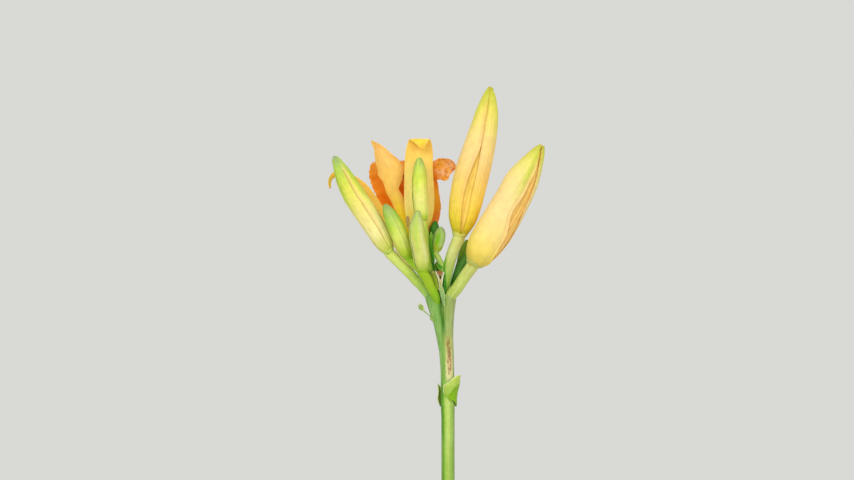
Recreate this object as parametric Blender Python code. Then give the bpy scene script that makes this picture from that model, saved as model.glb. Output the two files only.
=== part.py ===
"""Cut daylily in a clear glass bottle: one scape with ten buds and one open flower, standing in water.

The frame: origin at the centre of the bottle's flat base, +Z up, the flowering side towards -Y.
Every length below is in millimetres; the meshes are made in metres.
"""
import math

import bmesh
import bpy
import numpy as np
from mathutils import Vector

MM = 0.001
GAP = 0.3                       # clearance between pieces that touch on the real plant

# Bottle: a plain round vase bottle, turned about the Z axis.
BOTTLE_HEIGHT = 190.0
BODY_RADIUS = 33.0
NECK_RADIUS = 13.0
BORE_RADIUS = 9.15
LIP_RADIUS = 15.2
WALL = 2.6
FLOOR = 5.0
HEEL_RADIUS = 3.0
INNER_HEEL_RADIUS = 5.0         # rounding between the floor and the wall inside
SHOULDER_START = 104.0
SHOULDER_END = 150.0
LIP_START = 177.0
LIP_SLOPE = 3.0                 # height over which the lip grows out of the neck, and closes at the top
LIP_ROLL = 2.2                  # how far the lip's top edge is rolled in
MOUTH_FLARE = 1.8
MOUTH_DEPTH = 2.5
SHOULDER_ROWS = 8
WATER_LEVEL = 97.0
TURNED_SIDES = 36
WAY_CLEARANCE = 0.4             # between the scape and the water around it

# Scape: the main stalk leans from the middle of the bottle's floor against the left of its neck.
SCAPE_FOOT_Z = FLOOR + 0.5
SCAPE_RADIUS = 3.4
# Each row: height, centre x, half distance between the two arms, left arm radius, right arm radius.
SCAPE_STATIONS = (
    (SCAPE_FOOT_Z, 0.6, 0.0, 3.3, 3.3),
    (100.0, -2.5, 0.0, 3.4, 3.4),
    (203.0, -5.8, 0.0, 3.4, 3.4),
    (236.0, -5.8, 0.0, 3.4, 3.4),
    (242.0, -5.9, 0.0, 3.7, 3.7),
    (248.0, -6.0, 0.0, 3.5, 3.5),
    (260.0, -6.1, 0.0, 3.5, 3.5),
    (270.0, -6.6, 0.35, 3.45, 3.4),
    (277.0, -7.3, 1.2, 3.25, 3.0),
    (284.0, -8.0, 2.2, 3.1, 2.9),
    (291.0, -8.9, 3.2, 3.4, 3.2),
    (297.0, -9.4, 3.9, 3.7, 3.5),
)
SCAPE_RINGS = (SCAPE_FOOT_Z, 50.0, 100.0, 150.0, 203.0, 236.0, 239.0, 242.0, 248.0, 260.0, 265.0, 269.0,
               273.0, 277.0, 281.0, 285.0, 289.0, 293.0, 297.0)
SCAPE_SIDES = 20
ARM_WAIST = 1.6                 # half depth of the web that joins the two arms

# Scape bract: azimuth from the front (negative to the left), then the height and the stand-off of its
# lower edge, and the height and the stand-off of its upper edge.
BRACT_EDGES = (
    (-34, 248.6, 0.0, 252.6, 0.1), (-16, 247.2, 0.2, 253.0, 0.2), (0, 245.9, 0.4, 253.7, 0.3),
    (20, 244.6, 0.6, 255.0, 0.6), (42, 244.4, 0.7, 256.8, 1.6), (62, 243.2, 0.7, 257.8, 2.8),
    (80, 241.8, 0.6, 257.6, 3.2), (95, 241.5, 0.6, 256.0, 2.8), (120, 241.5, 0.4, 252.5, 1.4),
    (150, 241.5, 0.2, 250.4, 0.5), (190, 241.5, 0.1, 249.8, 0.2), (230, 241.5, 0.1, 251.0, 0.4),
    (256, 241.5, 0.1, 253.0, 1.0), (272, 241.6, 0.0, 253.6, 1.2),
)
BRACT_ORIGIN = (-5.9, 241.5)    # x and z of the scape's middle where the bract starts
BRACT_LEAN = -0.016             # how far the scape leans in x for each mm of height there
BRACT_INNER_RADIUS = 4.05
BRACT_THICKNESS = 0.6
BRACT_RISE = 1.8                # how late the upper part stands off

# Stalks, by what each one carries: its route up to there, its radius at the foot and at the top.
STALKS = {
    "left_bud": (((-14.6, 0.2, 297.4), (-19.3, 0.2, 303.2), (-22.7, 0.3, 306.9), (-26.2, 0.4, 311.0)),
                 2.4, 2.8),
    "tall_bud": (((-7.5, 2.5, 297.4), (-7.2, 1.6, 303.5), (-6.0, 0.6, 311.0), (-3.6, -0.3, 320.5)), 2.0, 3.2),
    "right_bud": (((-4.2, -1.6, 297.4), (-0.9, -3.0, 303.0), (3.0, -4.5, 309.0)), 2.8, 3.2),
    "front_bud": (((-13.0, -4.6, 299.2), (-15.4, -5.8, 304.2), (-16.9, -6.8, 308.0)), 1.8, 2.8),
    "inner_left_bud": (((-18.0, -2.2, 308.6), (-20.4, -2.3, 312.4)), 1.4, 2.2),
    "centre_bud": (((-11.2, 0.7, 300.4), (-13.6, 0.8, 306.5), (-15.8, 0.5, 314.0), (-16.6, 0.2, 325.0)),
                   1.4, 1.9),
    "flower_tube": (((-13.2, 5.6, 298.4), (-15.0, 6.6, 303.0)), 2.0, 2.3),
    "small_bud": (((-9.8, -0.1, 311.9), (-10.5, -0.4, 316.5)), 1.1, 1.6),
    "shaded_bud": (((-11.2, 4.0, 304.4), (-13.4, 4.4, 309.5), (-14.5, 4.9, 316.0)), 1.0, 1.4),
    "upper_back_bud": (((-3.7, 8.0, 303.0), (-1.9, 8.2, 309.5)), 1.0, 1.2),
    "lower_back_bud": (((-4.4, 4.7, 300.0), (-4.0, 4.7, 302.6)), 1.1, 1.3),
}

# Withered scrap on the scape's left arm.
WISP_ROUTE = ((-15.3, -0.8, 287.6), (-16.9, -0.7, 289.6), (-18.9, -0.9, 291.3), (-20.3, -0.9, 293.6),
              (-20.8, -0.8, 295.4))
WISP_RADII = (0.6, 0.45, 0.4, 0.5, 1.1, 0.9, 0.25)

# Outlines of the buds from foot (0) to tip (1), as shares of the greatest radius, and how far the axis
# of each large one sways to the right of a straight line.
LEFT_OUTLINE = ((0.0, 0.40), (0.02, 0.54), (0.10, 0.81), (0.23, 0.95), (0.37, 0.99), (0.52, 1.0),
                (0.64, 0.96), (0.755, 0.84), (0.877, 0.60), (0.945, 0.43), (0.99, 0.25))
LEFT_SWAY = ((0.0, 0.0), (0.25, -0.1), (0.5, -0.85), (0.62, -1.2), (0.75, -0.95), (0.88, -0.4), (1.0, 0.0))
TALL_OUTLINE = ((0.0, 0.38), (0.035, 0.53), (0.10, 0.78), (0.19, 0.94), (0.30, 1.005), (0.42, 1.01),
                (0.52, 0.97), (0.63, 0.89), (0.75, 0.765), (0.84, 0.645), (0.91, 0.48), (0.965, 0.30),
                (0.99, 0.16))
TALL_SWAY = ((0.0, 0.0), (0.19, -0.3), (0.30, -0.4), (0.42, -0.2), (0.51, 0.2), (0.62, 0.7), (0.75, 1.1),
             (0.84, 0.95), (0.92, 0.6), (1.0, 0.0))
RIGHT_OUTLINE = ((0.0, 0.38), (0.03, 0.55), (0.072, 0.725), (0.143, 0.89), (0.25, 0.98), (0.353, 0.98),
                 (0.456, 0.955), (0.575, 0.92), (0.673, 0.90), (0.74, 0.825), (0.81, 0.69), (0.884, 0.51),
                 (0.95, 0.35), (0.99, 0.20))
RIGHT_SWAY = ((0.0, 0.0), (0.15, -0.1), (0.3, 0.45), (0.58, 0.4), (0.68, -0.1), (0.85, -0.3), (1.0, -0.4))
YOUNG_OUTLINE = ((0.0, 0.58), (0.05, 0.74), (0.16, 0.88), (0.38, 1.0), (0.60, 0.98), (0.76, 0.86),
                 (0.88, 0.65), (0.95, 0.44), (0.99, 0.24))
SLENDER_OUTLINE = ((0.0, 0.62), (0.04, 0.78), (0.12, 0.92), (0.30, 0.99), (0.46, 1.0), (0.60, 0.95),
                   (0.72, 0.86), (0.82, 0.72), (0.89, 0.56), (0.945, 0.39), (0.985, 0.22), (1.0, 0.10))
CENTRE_SWAY = ((0.0, 0.0), (0.15, -0.75), (0.31, -0.9), (0.47, -0.9), (0.63, -0.75), (0.80, -0.4), (1.0, 0.0))
FRONT_SWAY = ((0.0, 0.0), (0.10, -0.4), (0.21, -0.5), (0.32, -0.75), (0.44, -1.2), (0.57, -1.6), (0.71, -1.5),
              (0.86, -0.9), (1.0, 0.0))
STRAIGHT = ((0.0, 0.0), (1.0, 0.0))

BUD_LOBES = 0.03                # how far the three sepals of a closed bud bulge, as a share of its radius

# Buds: foot, tip, greatest radius, outline, sway.
BUDS = {
    "left_bud": ((-36.3, 1.0, 321.6), (-64.9, -6.0, 371.2), 5.8, LEFT_OUTLINE, LEFT_SWAY),
    "tall_bud": ((0.1, -1.0, 329.9), (16.2, -5.0, 407.0), 8.7, TALL_OUTLINE, TALL_SWAY),
    "right_bud": ((7.2, -6.1, 315.0), (42.8, -14.0, 376.2), 9.8, RIGHT_OUTLINE, RIGHT_SWAY),
    "centre_bud": ((-18.9, 0.0, 338.7), (-20.7, -2.0, 371.0), 3.9, SLENDER_OUTLINE, CENTRE_SWAY),
    "front_bud": ((-18.8, -7.5, 311.8), (-21.5, -12.0, 343.6), 4.0, SLENDER_OUTLINE, FRONT_SWAY),
    "inner_left_bud": ((-26.4, -2.0, 319.0), (-38.6, -9.0, 346.4), 4.1, YOUNG_OUTLINE, STRAIGHT),
    "small_bud": ((-11.9, -1.0, 322.4), (-9.0, -3.0, 334.6), 2.8, YOUNG_OUTLINE, STRAIGHT),
    "shaded_bud": ((-14.2, 5.4, 322.6), (-12.3, 6.0, 337.9), 2.6, YOUNG_OUTLINE, STRAIGHT),
    "upper_back_bud": ((0.2, 8.4, 316.0), (4.5, 9.4, 328.0), 1.9, YOUNG_OUTLINE, STRAIGHT),
    "lower_back_bud": ((-2.6, 4.6, 306.5), (4.0, 3.4, 320.6), 2.1, YOUNG_OUTLINE, STRAIGHT),
}

# Flower: a tube that opens into three outer sepals and three inner petals.
TUBE_ROUTE = ((-18.5, 8.5, 308.9), (-20.8, 10.3, 316.5), (-23.0, 12.0, 325.0))
TUBE_RADII = (2.5, 3.2, 5.4)
BLADE_THICKNESS = 1.0
MARGIN_THICKNESS = 0.45
# Each blade: its midrib's route, the direction of its width and its width (both by place along the
# midrib, 0 at the foot and 1 at the tip), the depth of its cup, and the height and number of its ruffles.
SEPALS = {
    "sepal_front": dict(
        route=((-23.0, 7.4, 325.5), (-21.0, 5.6, 335.6), (-20.7, 4.8, 348.7), (-21.0, 5.2, 364.4),
               (-20.6, 5.6, 375.6), (-20.2, 4.2, 380.2), (-19.5, 1.2, 379.0), (-19.0, 0.0, 374.6)),
        across=((0.0, (1, 0, 0)), (1.0, (1, 0, 0))),
        widths=((0.0, 5.6), (0.1, 8.8), (0.16, 11.6), (0.27, 15.0), (0.37, 16.4), (0.5, 16.0), (0.62, 15.2),
                (0.8, 13.6), (0.86, 11.8), (0.93, 7.2), (0.98, 2.8), (1.0, 0.8)),
        cup=2.0, ruffle=0.0, ruffles=0),
    "sepal_left": dict(
        route=((-27.3, 13.6, 325.5), (-35.0, 14.6, 331.0), (-45.0, 13.5, 342.0), (-53.4, 11.2, 354.4),
               (-59.3, 9.6, 360.4), (-62.8, 8.6, 362.4), (-65.5, 7.8, 362.0), (-67.3, 7.4, 360.4),
               (-68.1, 7.2, 357.6), (-67.8, 7.2, 354.8)),
        across=((0.0, (-0.2, -0.98, 0.0)), (0.35, (0.5, -0.6, 0.6)), (0.72, (0.5, -0.5, 0.7)),
                (0.82, (0.0, -0.5, 0.85)), (0.90, (-0.7, -0.5, 0.5)), (1.0, (-0.85, -0.5, 0.1))),
        widths=((0.0, 5.0), (0.12, 6.4), (0.3, 11.0), (0.45, 13.0), (0.6, 11.6), (0.72, 8.0), (0.80, 5.0),
                (0.88, 3.0), (0.95, 1.9), (1.0, 0.8)),
        cup=1.6, ruffle=0.0, ruffles=0),
    "sepal_back": dict(
        route=((-19.8, 15.8, 325.5), (-18.8, 20.2, 336.0), (-19.0, 27.0, 347.5), (-19.5, 35.0, 355.5),
               (-20.0, 43.0, 359.0), (-20.0, 49.5, 356.5), (-20.0, 52.5, 351.0)),
        across=((0.0, (-0.77, 0.64, 0.0)), (0.3, (-0.95, 0.3, 0.0)), (1.0, (-1, 0, 0))),
        widths=((0.0, 5.0), (0.12, 7.0), (0.3, 11.6), (0.5, 13.6), (0.7, 12.8), (0.84, 9.0), (0.93, 4.6),
                (1.0, 0.8)),
        cup=1.6, ruffle=0.0, ruffles=0),
}
PETALS = {
    "petal_left": dict(
        route=((-25.6, 10.5, 325.5), (-27.0, 10.0, 334.5), (-28.7, 9.8, 340.0), (-32.2, 9.5, 348.7),
               (-34.9, 9.2, 354.0), (-35.2, 8.9, 360.2), (-36.5, 8.5, 365.2), (-38.9, 8.0, 369.4),
               (-41.1, 7.4, 373.8), (-42.4, 7.0, 375.9), (-45.6, 6.0, 378.9)),
        across=((0.0, (0.5, -0.87, 0.0)), (0.2, (0.9, -0.4, 0.1)), (0.41, (0.88, -0.1, 0.45)),
                (0.515, (0.93, -0.1, 0.34)), (0.617, (0.97, -0.1, 0.24)), (0.71, (0.94, -0.1, 0.34)),
                (0.78, (0.98, -0.1, 0.17)), (0.93, (0.96, -0.1, 0.27)), (1.0, (0.85, -0.1, 0.5))),
        widths=((0.0, 4.4), (0.15, 5.6), (0.255, 6.4), (0.416, 6.8), (0.519, 7.2), (0.625, 12.0),
                (0.67, 14.0), (0.714, 13.0), (0.796, 10.2), (0.88, 6.6), (0.923, 4.4), (0.97, 2.2),
                (1.0, 0.8)),
        cup=2.4, ruffle=0.5, ruffles=3),
    "petal_right": dict(
        route=((-20.4, 10.5, 325.5), (-16.2, 11.0, 334.5), (-14.9, 11.2, 344.0), (-15.0, 11.4, 351.0),
               (-15.9, 11.9, 357.0), (-16.2, 12.0, 361.0), (-14.4, 11.6, 363.6), (-11.1, 10.9, 364.6),
               (-8.1, 10.2, 365.2), (-5.2, 9.2, 366.2), (-2.9, 8.4, 367.0), (-1.6, 8.0, 367.4)),
        across=((0.0, (0.5, 0.87, 0.0)), (0.2, (0.9, 0.4, 0.0)), (0.5, (0.92, 0.3, 0.0)),
                (0.61, (0.9, 0.3, 0.1)), (0.748, (0.3, 0.2, -0.95)), (0.82, (0.2, 0.25, -0.95)),
                (1.0, (0.1, 0.3, -0.95))),
        widths=((0.0, 4.4), (0.12, 9.0), (0.25, 12.4), (0.364, 12.8), (0.495, 12.2), (0.61, 9.6),
                (0.684, 8.6), (0.743, 8.4), (0.808, 10.2), (0.868, 12.0), (0.927, 9.6), (0.974, 6.0),
                (1.0, 2.0)),
        cup=1.0, ruffle=0.5, ruffles=4),
    "petal_back": dict(
        route=((-23.0, 15.0, 325.5), (-25.2, 17.6, 336.0), (-28.0, 19.8, 348.0), (-29.6, 22.2, 358.0),
               (-30.8, 25.6, 366.0), (-31.4, 30.0, 369.6), (-31.6, 34.6, 368.4)),
        across=((0.0, (-1, 0, 0)), (1.0, (-1, 0, 0))),
        widths=((0.0, 4.6), (0.12, 9.4), (0.3, 19.6), (0.5, 28.5), (0.64, 33.0), (0.76, 33.6), (0.86, 27.0),
                (0.94, 15.0), (1.0, 2.0)),
        cup=4.2, ruffle=1.0, ruffles=4),
}

# Two small bracts in the fork: a cupped one under the small buds and a lance-shaped one below it.
FORK_BRACTS = {
    "cup_bract": dict(
        route=((-10.6, -2.2, 303.4), (-10.7, -2.6, 307.6), (-10.4, -2.4, 312.0)),
        across=((0.0, (1, 0, 0)), (1.0, (1, 0, 0))),
        widths=((0.0, 1.8), (0.5, 4.4), (0.9, 5.4), (1.0, 4.6)), cup=1.0),
    "fork_bract": dict(
        route=((-8.2, -3.6, 294.6), (-8.2, -4.4, 298.2), (-8.4, -3.8, 302.2)),
        across=((0.0, (1, 0, 0)), (1.0, (1, 0, 0))),
        widths=((0.0, 1.5), (0.4, 2.5), (0.8, 1.7), (1.0, 0.5)), cup=0.3),
}

# Stamens and pistil rise from the throat and spread; the last rings of a stamen are its anther.
THROAT = (-23.0, 12.0, 325.5)
FILAMENT_RADIUS = 0.5
ANTHER_RADIUS = 1.0
ANTHER_RINGS = 2
STAMEN_COUNT = 6
STAMEN_RING = 1.35              # radius of the ring on which the stamens stand
STAMEN_RINGS = 9
STAMEN_HEIGHT = 36.0
STAMEN_VARIATION = 2.0          # how much taller or shorter single stamens are
STAMEN_SPREAD = 2.6
STAMEN_LEAN = (-0.06, 0.09, 0.0)
PISTIL_HEIGHT = 43.0
STIGMA_RADIUS = 0.8


def mix(table, place):
    """Value of a (place, value) table at a place, running straight between its rows."""
    places = [row[0] for row in table]
    values = np.array([row[1] for row in table], dtype=float)
    if values.ndim == 1:
        return float(np.interp(place, places, values))
    return Vector([float(np.interp(place, places, values[:, axis])) for axis in range(3)])


def smooth_route(points, count):
    """Evenly spaced points along a smooth curve through a route, with the tangent at each."""
    knots = [Vector(point) for point in points]
    knots = [knots[0] * 2 - knots[1]] + knots + [knots[-1] * 2 - knots[-2]]
    fine = []
    steps = 24
    for index in range(1, len(knots) - 2):
        before, start, end, after = knots[index - 1:index + 3]
        for step in range(steps):
            t = step / steps
            fine.append(0.5 * ((2 * start) + (end - before) * t
                               + (2 * before - 5 * start + 4 * end - after) * t ** 2
                               + (3 * start - before - 3 * end + after) * t ** 3))
    fine.append(knots[-2])
    lengths = np.concatenate([[0], np.cumsum([(b - a).length for a, b in zip(fine, fine[1:])])])
    places = np.linspace(0, lengths[-1], count)
    line = [Vector([float(np.interp(place, lengths, [p[axis] for p in fine])) for axis in range(3)])
            for place in places]
    tangents = []
    for index in range(count):
        ahead = line[min(index + 1, count - 1)]
        behind = line[max(index - 1, 0)]
        tangents.append((ahead - behind).normalized())
    return line, tangents


def round_ring(centre, axis, radius, sides, lobes=0.0):
    """One ring of a round body, square to its axis, with three faint lobes where asked."""
    side = axis.cross(Vector((0, 1, 0))).normalized()
    front = side.cross(axis).normalized()
    ring = []
    for index in range(sides):
        angle = math.tau * index / sides
        reach = radius * (1 + lobes * math.cos(3 * angle))
        ring.append(centre + (side * math.cos(angle) + front * math.sin(angle)) * reach)
    return ring


def paint(thing, colour, roughness, alpha=1.0):
    """Give an object its own Principled material."""
    material = bpy.data.materials.new(thing.name)
    material.use_nodes = True
    shader = material.node_tree.nodes["Principled BSDF"]
    shader.inputs["Base Color"].default_value = (*colour, 1.0)
    shader.inputs["Roughness"].default_value = roughness
    shader.inputs["Metallic"].default_value = 0.0
    shader.inputs["Alpha"].default_value = alpha
    thing.data.materials.append(material)


def place(name, bm):
    """Turn a bmesh in millimetres into a named object in metres, with its faces pointing out."""
    bmesh.ops.recalc_face_normals(bm, faces=bm.faces)
    bmesh.ops.scale(bm, vec=(MM, MM, MM), verts=bm.verts)
    mesh = bpy.data.meshes.new(name)
    bm.to_mesh(mesh)
    bm.free()
    mesh.shade_smooth()
    mesh.set_sharp_from_angle(angle=math.radians(50))
    thing = bpy.data.objects.new(name, mesh)
    bpy.context.scene.collection.objects.link(thing)
    return thing


def loft(name, rings, flat_ends=False):
    """Closed body through a row of rings; flat_ends closes folded rings with a strip of quads."""
    bm = bmesh.new()
    rows = [[bm.verts.new(point) for point in ring] for ring in rings]
    sides = len(rows[0])
    for lower, upper in zip(rows, rows[1:]):
        for index in range(sides):
            following = (index + 1) % sides
            bm.faces.new((lower[index], lower[following], upper[following], upper[index]))
    for row in (rows[0], rows[-1]):
        if not flat_ends:
            bm.faces.new(row)
            continue
        for index in range(sides // 2 - 1):
            bm.faces.new((row[index], row[index + 1], row[sides - 2 - index], row[sides - 1 - index]))
    return place(name, bm)


def turned(name, profile):
    """Body turned about the Z axis from a profile that starts and ends on the axis."""
    bm = bmesh.new()
    verts = [bm.verts.new((radius, 0, height)) for radius, height in profile]
    edges = [bm.edges.new(pair) for pair in zip(verts, verts[1:])]
    bmesh.ops.spin(bm, geom=verts + edges, cent=(0, 0, 0), axis=(0, 0, 1), angle=math.tau,
                   steps=TURNED_SIDES, use_merge=True)
    bmesh.ops.remove_doubles(bm, verts=bm.verts, dist=0.001)
    return place(name, bm)


def shoulder(start, end):
    """S-curve from the body's wall to the neck's, as (radius, height) points."""
    points = []
    for index in range(SHOULDER_ROWS + 1):
        t = index / SHOULDER_ROWS
        share = 0.5 - 0.5 * math.cos(math.pi * t)
        points.append((start[0] + (end[0] - start[0]) * share, start[1] + (end[1] - start[1]) * t))
    return points


def inner_heel(radius, floor):
    """Rounded corner between an inside wall and the floor under it, from the wall inwards."""
    corner = INNER_HEEL_RADIUS * (1 - math.sqrt(0.5))
    return [(radius, floor + INNER_HEEL_RADIUS), (radius - corner, floor + corner),
            (radius - INNER_HEEL_RADIUS, floor)]


def make_bottle():
    """Clear glass bottle with a flat base, a sloping shoulder, a straight neck and a bead lip."""
    inner_body = BODY_RADIUS - WALL
    outside = [(0, 0), (BODY_RADIUS - HEEL_RADIUS, 0)]
    for degrees in (30, 60, 90):
        turn = math.radians(degrees)
        outside.append((BODY_RADIUS - HEEL_RADIUS * (1 - math.sin(turn)), HEEL_RADIUS * (1 - math.cos(turn))))
    outside += shoulder((BODY_RADIUS, SHOULDER_START), (NECK_RADIUS, SHOULDER_END))
    outside += [(NECK_RADIUS, LIP_START), (LIP_RADIUS, LIP_START + LIP_SLOPE),
                (LIP_RADIUS, BOTTLE_HEIGHT - LIP_SLOPE), (LIP_RADIUS - LIP_ROLL, BOTTLE_HEIGHT)]
    inside = [(BORE_RADIUS + MOUTH_FLARE, BOTTLE_HEIGHT), (BORE_RADIUS, BOTTLE_HEIGHT - MOUTH_DEPTH)]
    inside += reversed(shoulder((inner_body, SHOULDER_START), (BORE_RADIUS, SHOULDER_END)))
    inside += [*inner_heel(inner_body, FLOOR), (0, FLOOR)]
    bottle = turned("bottle", outside + inside)
    paint(bottle, (0.86, 0.93, 0.90), 0.03, alpha=0.3)


def make_water():
    """Water in the bottle, with a way through it for the leaning scape."""
    inner = BODY_RADIUS - WALL - GAP
    heel = inner_heel(inner, FLOOR + GAP)
    water = turned("water", [(0, FLOOR + GAP), *reversed(heel), (inner, WATER_LEVEL), (0, WATER_LEVEL)])
    foot, top = SCAPE_STATIONS[0], SCAPE_STATIONS[1]
    slope = (top[1] - foot[1]) / (top[0] - foot[0])
    rings = []
    for height in (0.0, BOTTLE_HEIGHT):
        centre = Vector((foot[1] + slope * (height - foot[0]), 0, height))
        rings.append(round_ring(centre, Vector((0, 0, 1)), SCAPE_RADIUS + WAY_CLEARANCE, 16))
    cutter = loft("scape_way", rings)
    cutter.hide_render = True
    cutter.display_type = 'WIRE'
    cut = water.modifiers.new("scape_way", 'BOOLEAN')
    cut.operation = 'DIFFERENCE'
    cut.solver = 'EXACT'
    cut.object = cutter
    paint(water, (0.80, 0.90, 0.92), 0.02, alpha=0.3)


def arm_reach(angle, half_gap, left_radius, right_radius):
    """Distance from the scape's centre line to the outline of its two merged arms."""
    across, deep = math.cos(angle), math.sin(angle)
    reach = ARM_WAIST
    for offset, radius in ((-half_gap, left_radius), (half_gap, right_radius)):
        under_root = radius ** 2 - (offset * deep) ** 2
        if under_root > 0:
            reach = max(reach, offset * across + math.sqrt(under_root))
    return reach


def make_scape():
    """Main stalk, round below and forking into two arms that stay joined by a web."""
    rings = []
    heights, *columns = zip(*SCAPE_STATIONS)
    for height in SCAPE_RINGS:
        centre, half_gap, left, right = [float(np.interp(height, heights, column)) for column in columns]
        ring = []
        for index in range(SCAPE_SIDES):
            angle = math.tau * index / SCAPE_SIDES
            reach = arm_reach(angle, half_gap, left, right)
            ring.append(Vector((centre + reach * math.cos(angle), reach * math.sin(angle), height)))
        rings.append(ring)
    paint(loft("scape", rings), (0.33, 0.53, 0.14), 0.45)


def make_stalk(name, route, foot_radius, top_radius, seat, axis):
    """Tapered stalk from a level foot to just under the seat of what it carries."""
    top = Vector(seat) - axis * GAP
    line, tangents = smooth_route((*route, top - axis * 2 * GAP, top), 2 * len(route) + 2)
    tangents[0] = Vector((0, 0, 1))
    tangents[-1] = axis
    rings = []
    for index, (centre, tangent) in enumerate(zip(line, tangents)):
        radius = foot_radius + (top_radius - foot_radius) * index / (len(line) - 1)
        rings.append(round_ring(centre, tangent, radius, 10))
    paint(loft(name, rings), (0.45, 0.62, 0.18), 0.45)


def make_bud(name, foot, tip, radius, outline, sway, colour):
    """Closed bud: a spindle with three faint lobes on an axis that sways a little sideways."""
    foot, tip = Vector(foot), Vector(tip)
    axis = (tip - foot).normalized()
    right = Vector((0, 1, 0)).cross(axis).normalized()
    sides = 14 if radius > 3 else 10
    rings = []
    for share, width in outline:
        centre = foot.lerp(tip, share) + right * mix(sway, share)
        rings.append(round_ring(centre, axis, radius * width, sides, lobes=BUD_LOBES))
    paint(loft(name, rings), colour, 0.4)


def make_blade(name, route, across, widths, cup, ruffle, ruffles, colour, rows, columns):
    """Sepal, petal or bract: a thin curved blade, cupped across and ruffled along its margins."""
    line, tangents = smooth_route(route, rows)
    tangents[0] = Vector((0, 0, 1))
    greatest = max(width for place, width in widths)
    rings = []
    for index, (centre, tangent) in enumerate(zip(line, tangents)):
        along = index / (rows - 1)
        inward = tangent.cross(mix(across, along)).normalized()
        sideways = inward.cross(tangent).normalized()
        fullness = mix(widths, along) / greatest
        inner_side, outer_side = [], []
        for column in range(columns + 1):
            share = 2 * column / columns - 1
            wave = ruffle * fullness * abs(share) ** 3 * math.sin(math.tau * ruffles * along + share)
            lift = cup * fullness ** 1.5 * share ** 2 + wave
            middle = centre + sideways * (share * fullness * greatest / 2) + inward * lift
            thick = (MARGIN_THICKNESS + (BLADE_THICKNESS - MARGIN_THICKNESS) * (1 - share ** 2)) / 2
            inner_side.append(middle + inward * thick)
            outer_side.append(middle - inward * thick)
        rings.append(inner_side + outer_side[::-1])
    paint(loft(name, rings, flat_ends=True), colour, 0.5)


def make_tube():
    """Perianth tube that carries the sepals and petals."""
    line, tangents = smooth_route(TUBE_ROUTE, 6)
    tangents[0] = (Vector(TUBE_ROUTE[1]) - Vector(TUBE_ROUTE[0])).normalized()
    tangents[-1] = Vector((0, 0, 1))
    places = np.linspace(0, 1, len(TUBE_RADII))
    rings = []
    for index, (centre, tangent) in enumerate(zip(line, tangents)):
        radius = float(np.interp(index / (len(line) - 1), places, TUBE_RADII))
        rings.append(round_ring(centre, tangent, radius, 12))
    paint(loft("flower_tube", rings), (0.80, 0.74, 0.16), 0.45)


def make_stamen(name, angle, height, ring_radius, tip_radius, spread, colour):
    """Thread that rises from the throat, leans out ever more and ends in a thicker tip."""
    outward = Vector((math.cos(angle), math.sin(angle), 0))
    foot = Vector(THROAT) + outward * ring_radius
    lean = outward * spread + Vector(STAMEN_LEAN) * height
    route = [foot + Vector((0, 0, height * share)) + lean * share ** 2 for share in (0.0, 0.5, 1.0)]
    line, tangents = smooth_route(route, STAMEN_RINGS)
    rings = []
    for index, (centre, tangent) in enumerate(zip(line, tangents)):
        radius = tip_radius if index >= STAMEN_RINGS - ANTHER_RINGS else FILAMENT_RADIUS
        rings.append(round_ring(centre, tangent, radius, 6))
    paint(loft(name, rings), colour, 0.5)


def make_scape_bract():
    """Leafy bract that clasps the scape above its node and stands off in a point at the right."""
    rows = 5
    azimuths = np.linspace(BRACT_EDGES[0][0], BRACT_EDGES[-1][0], 22)
    table = list(zip(*BRACT_EDGES))
    origin_x, origin_z = BRACT_ORIGIN
    rings = []
    for row in range(rows + 1):
        along = row / rows
        inner_side, outer_side = [], []
        for azimuth in azimuths:
            low, low_off, high, high_off = [float(np.interp(azimuth, table[0], column))
                                            for column in table[1:]]
            height = low + (high - low) * along
            reach = BRACT_INNER_RADIUS + low_off + (high_off - low_off) * along ** BRACT_RISE
            centre = Vector((origin_x + BRACT_LEAN * (height - origin_z), 0, height))
            turn = math.radians(azimuth)
            outward = Vector((math.sin(turn), -math.cos(turn), 0))
            inner_side.append(centre + outward * reach)
            outer_side.append(centre + outward * (reach + BRACT_THICKNESS))
        rings.append(inner_side + outer_side[::-1])
    paint(loft("scape_bract", rings, flat_ends=True), (0.42, 0.63, 0.12), 0.5)


def make_small_pieces():
    """Withered scrap on the left arm and the two small bracts in the fork."""
    line, tangents = smooth_route(WISP_ROUTE, len(WISP_RADII))
    rings = [round_ring(centre, tangent, radius, 6)
             for centre, tangent, radius in zip(line, tangents, WISP_RADII)]
    paint(loft("dry_wisp", rings), (0.50, 0.56, 0.25), 0.7)
    for name, bract in FORK_BRACTS.items():
        make_blade(name, **bract, ruffle=0.0, ruffles=0, colour=(0.60, 0.66, 0.28), rows=4, columns=4)


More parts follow.
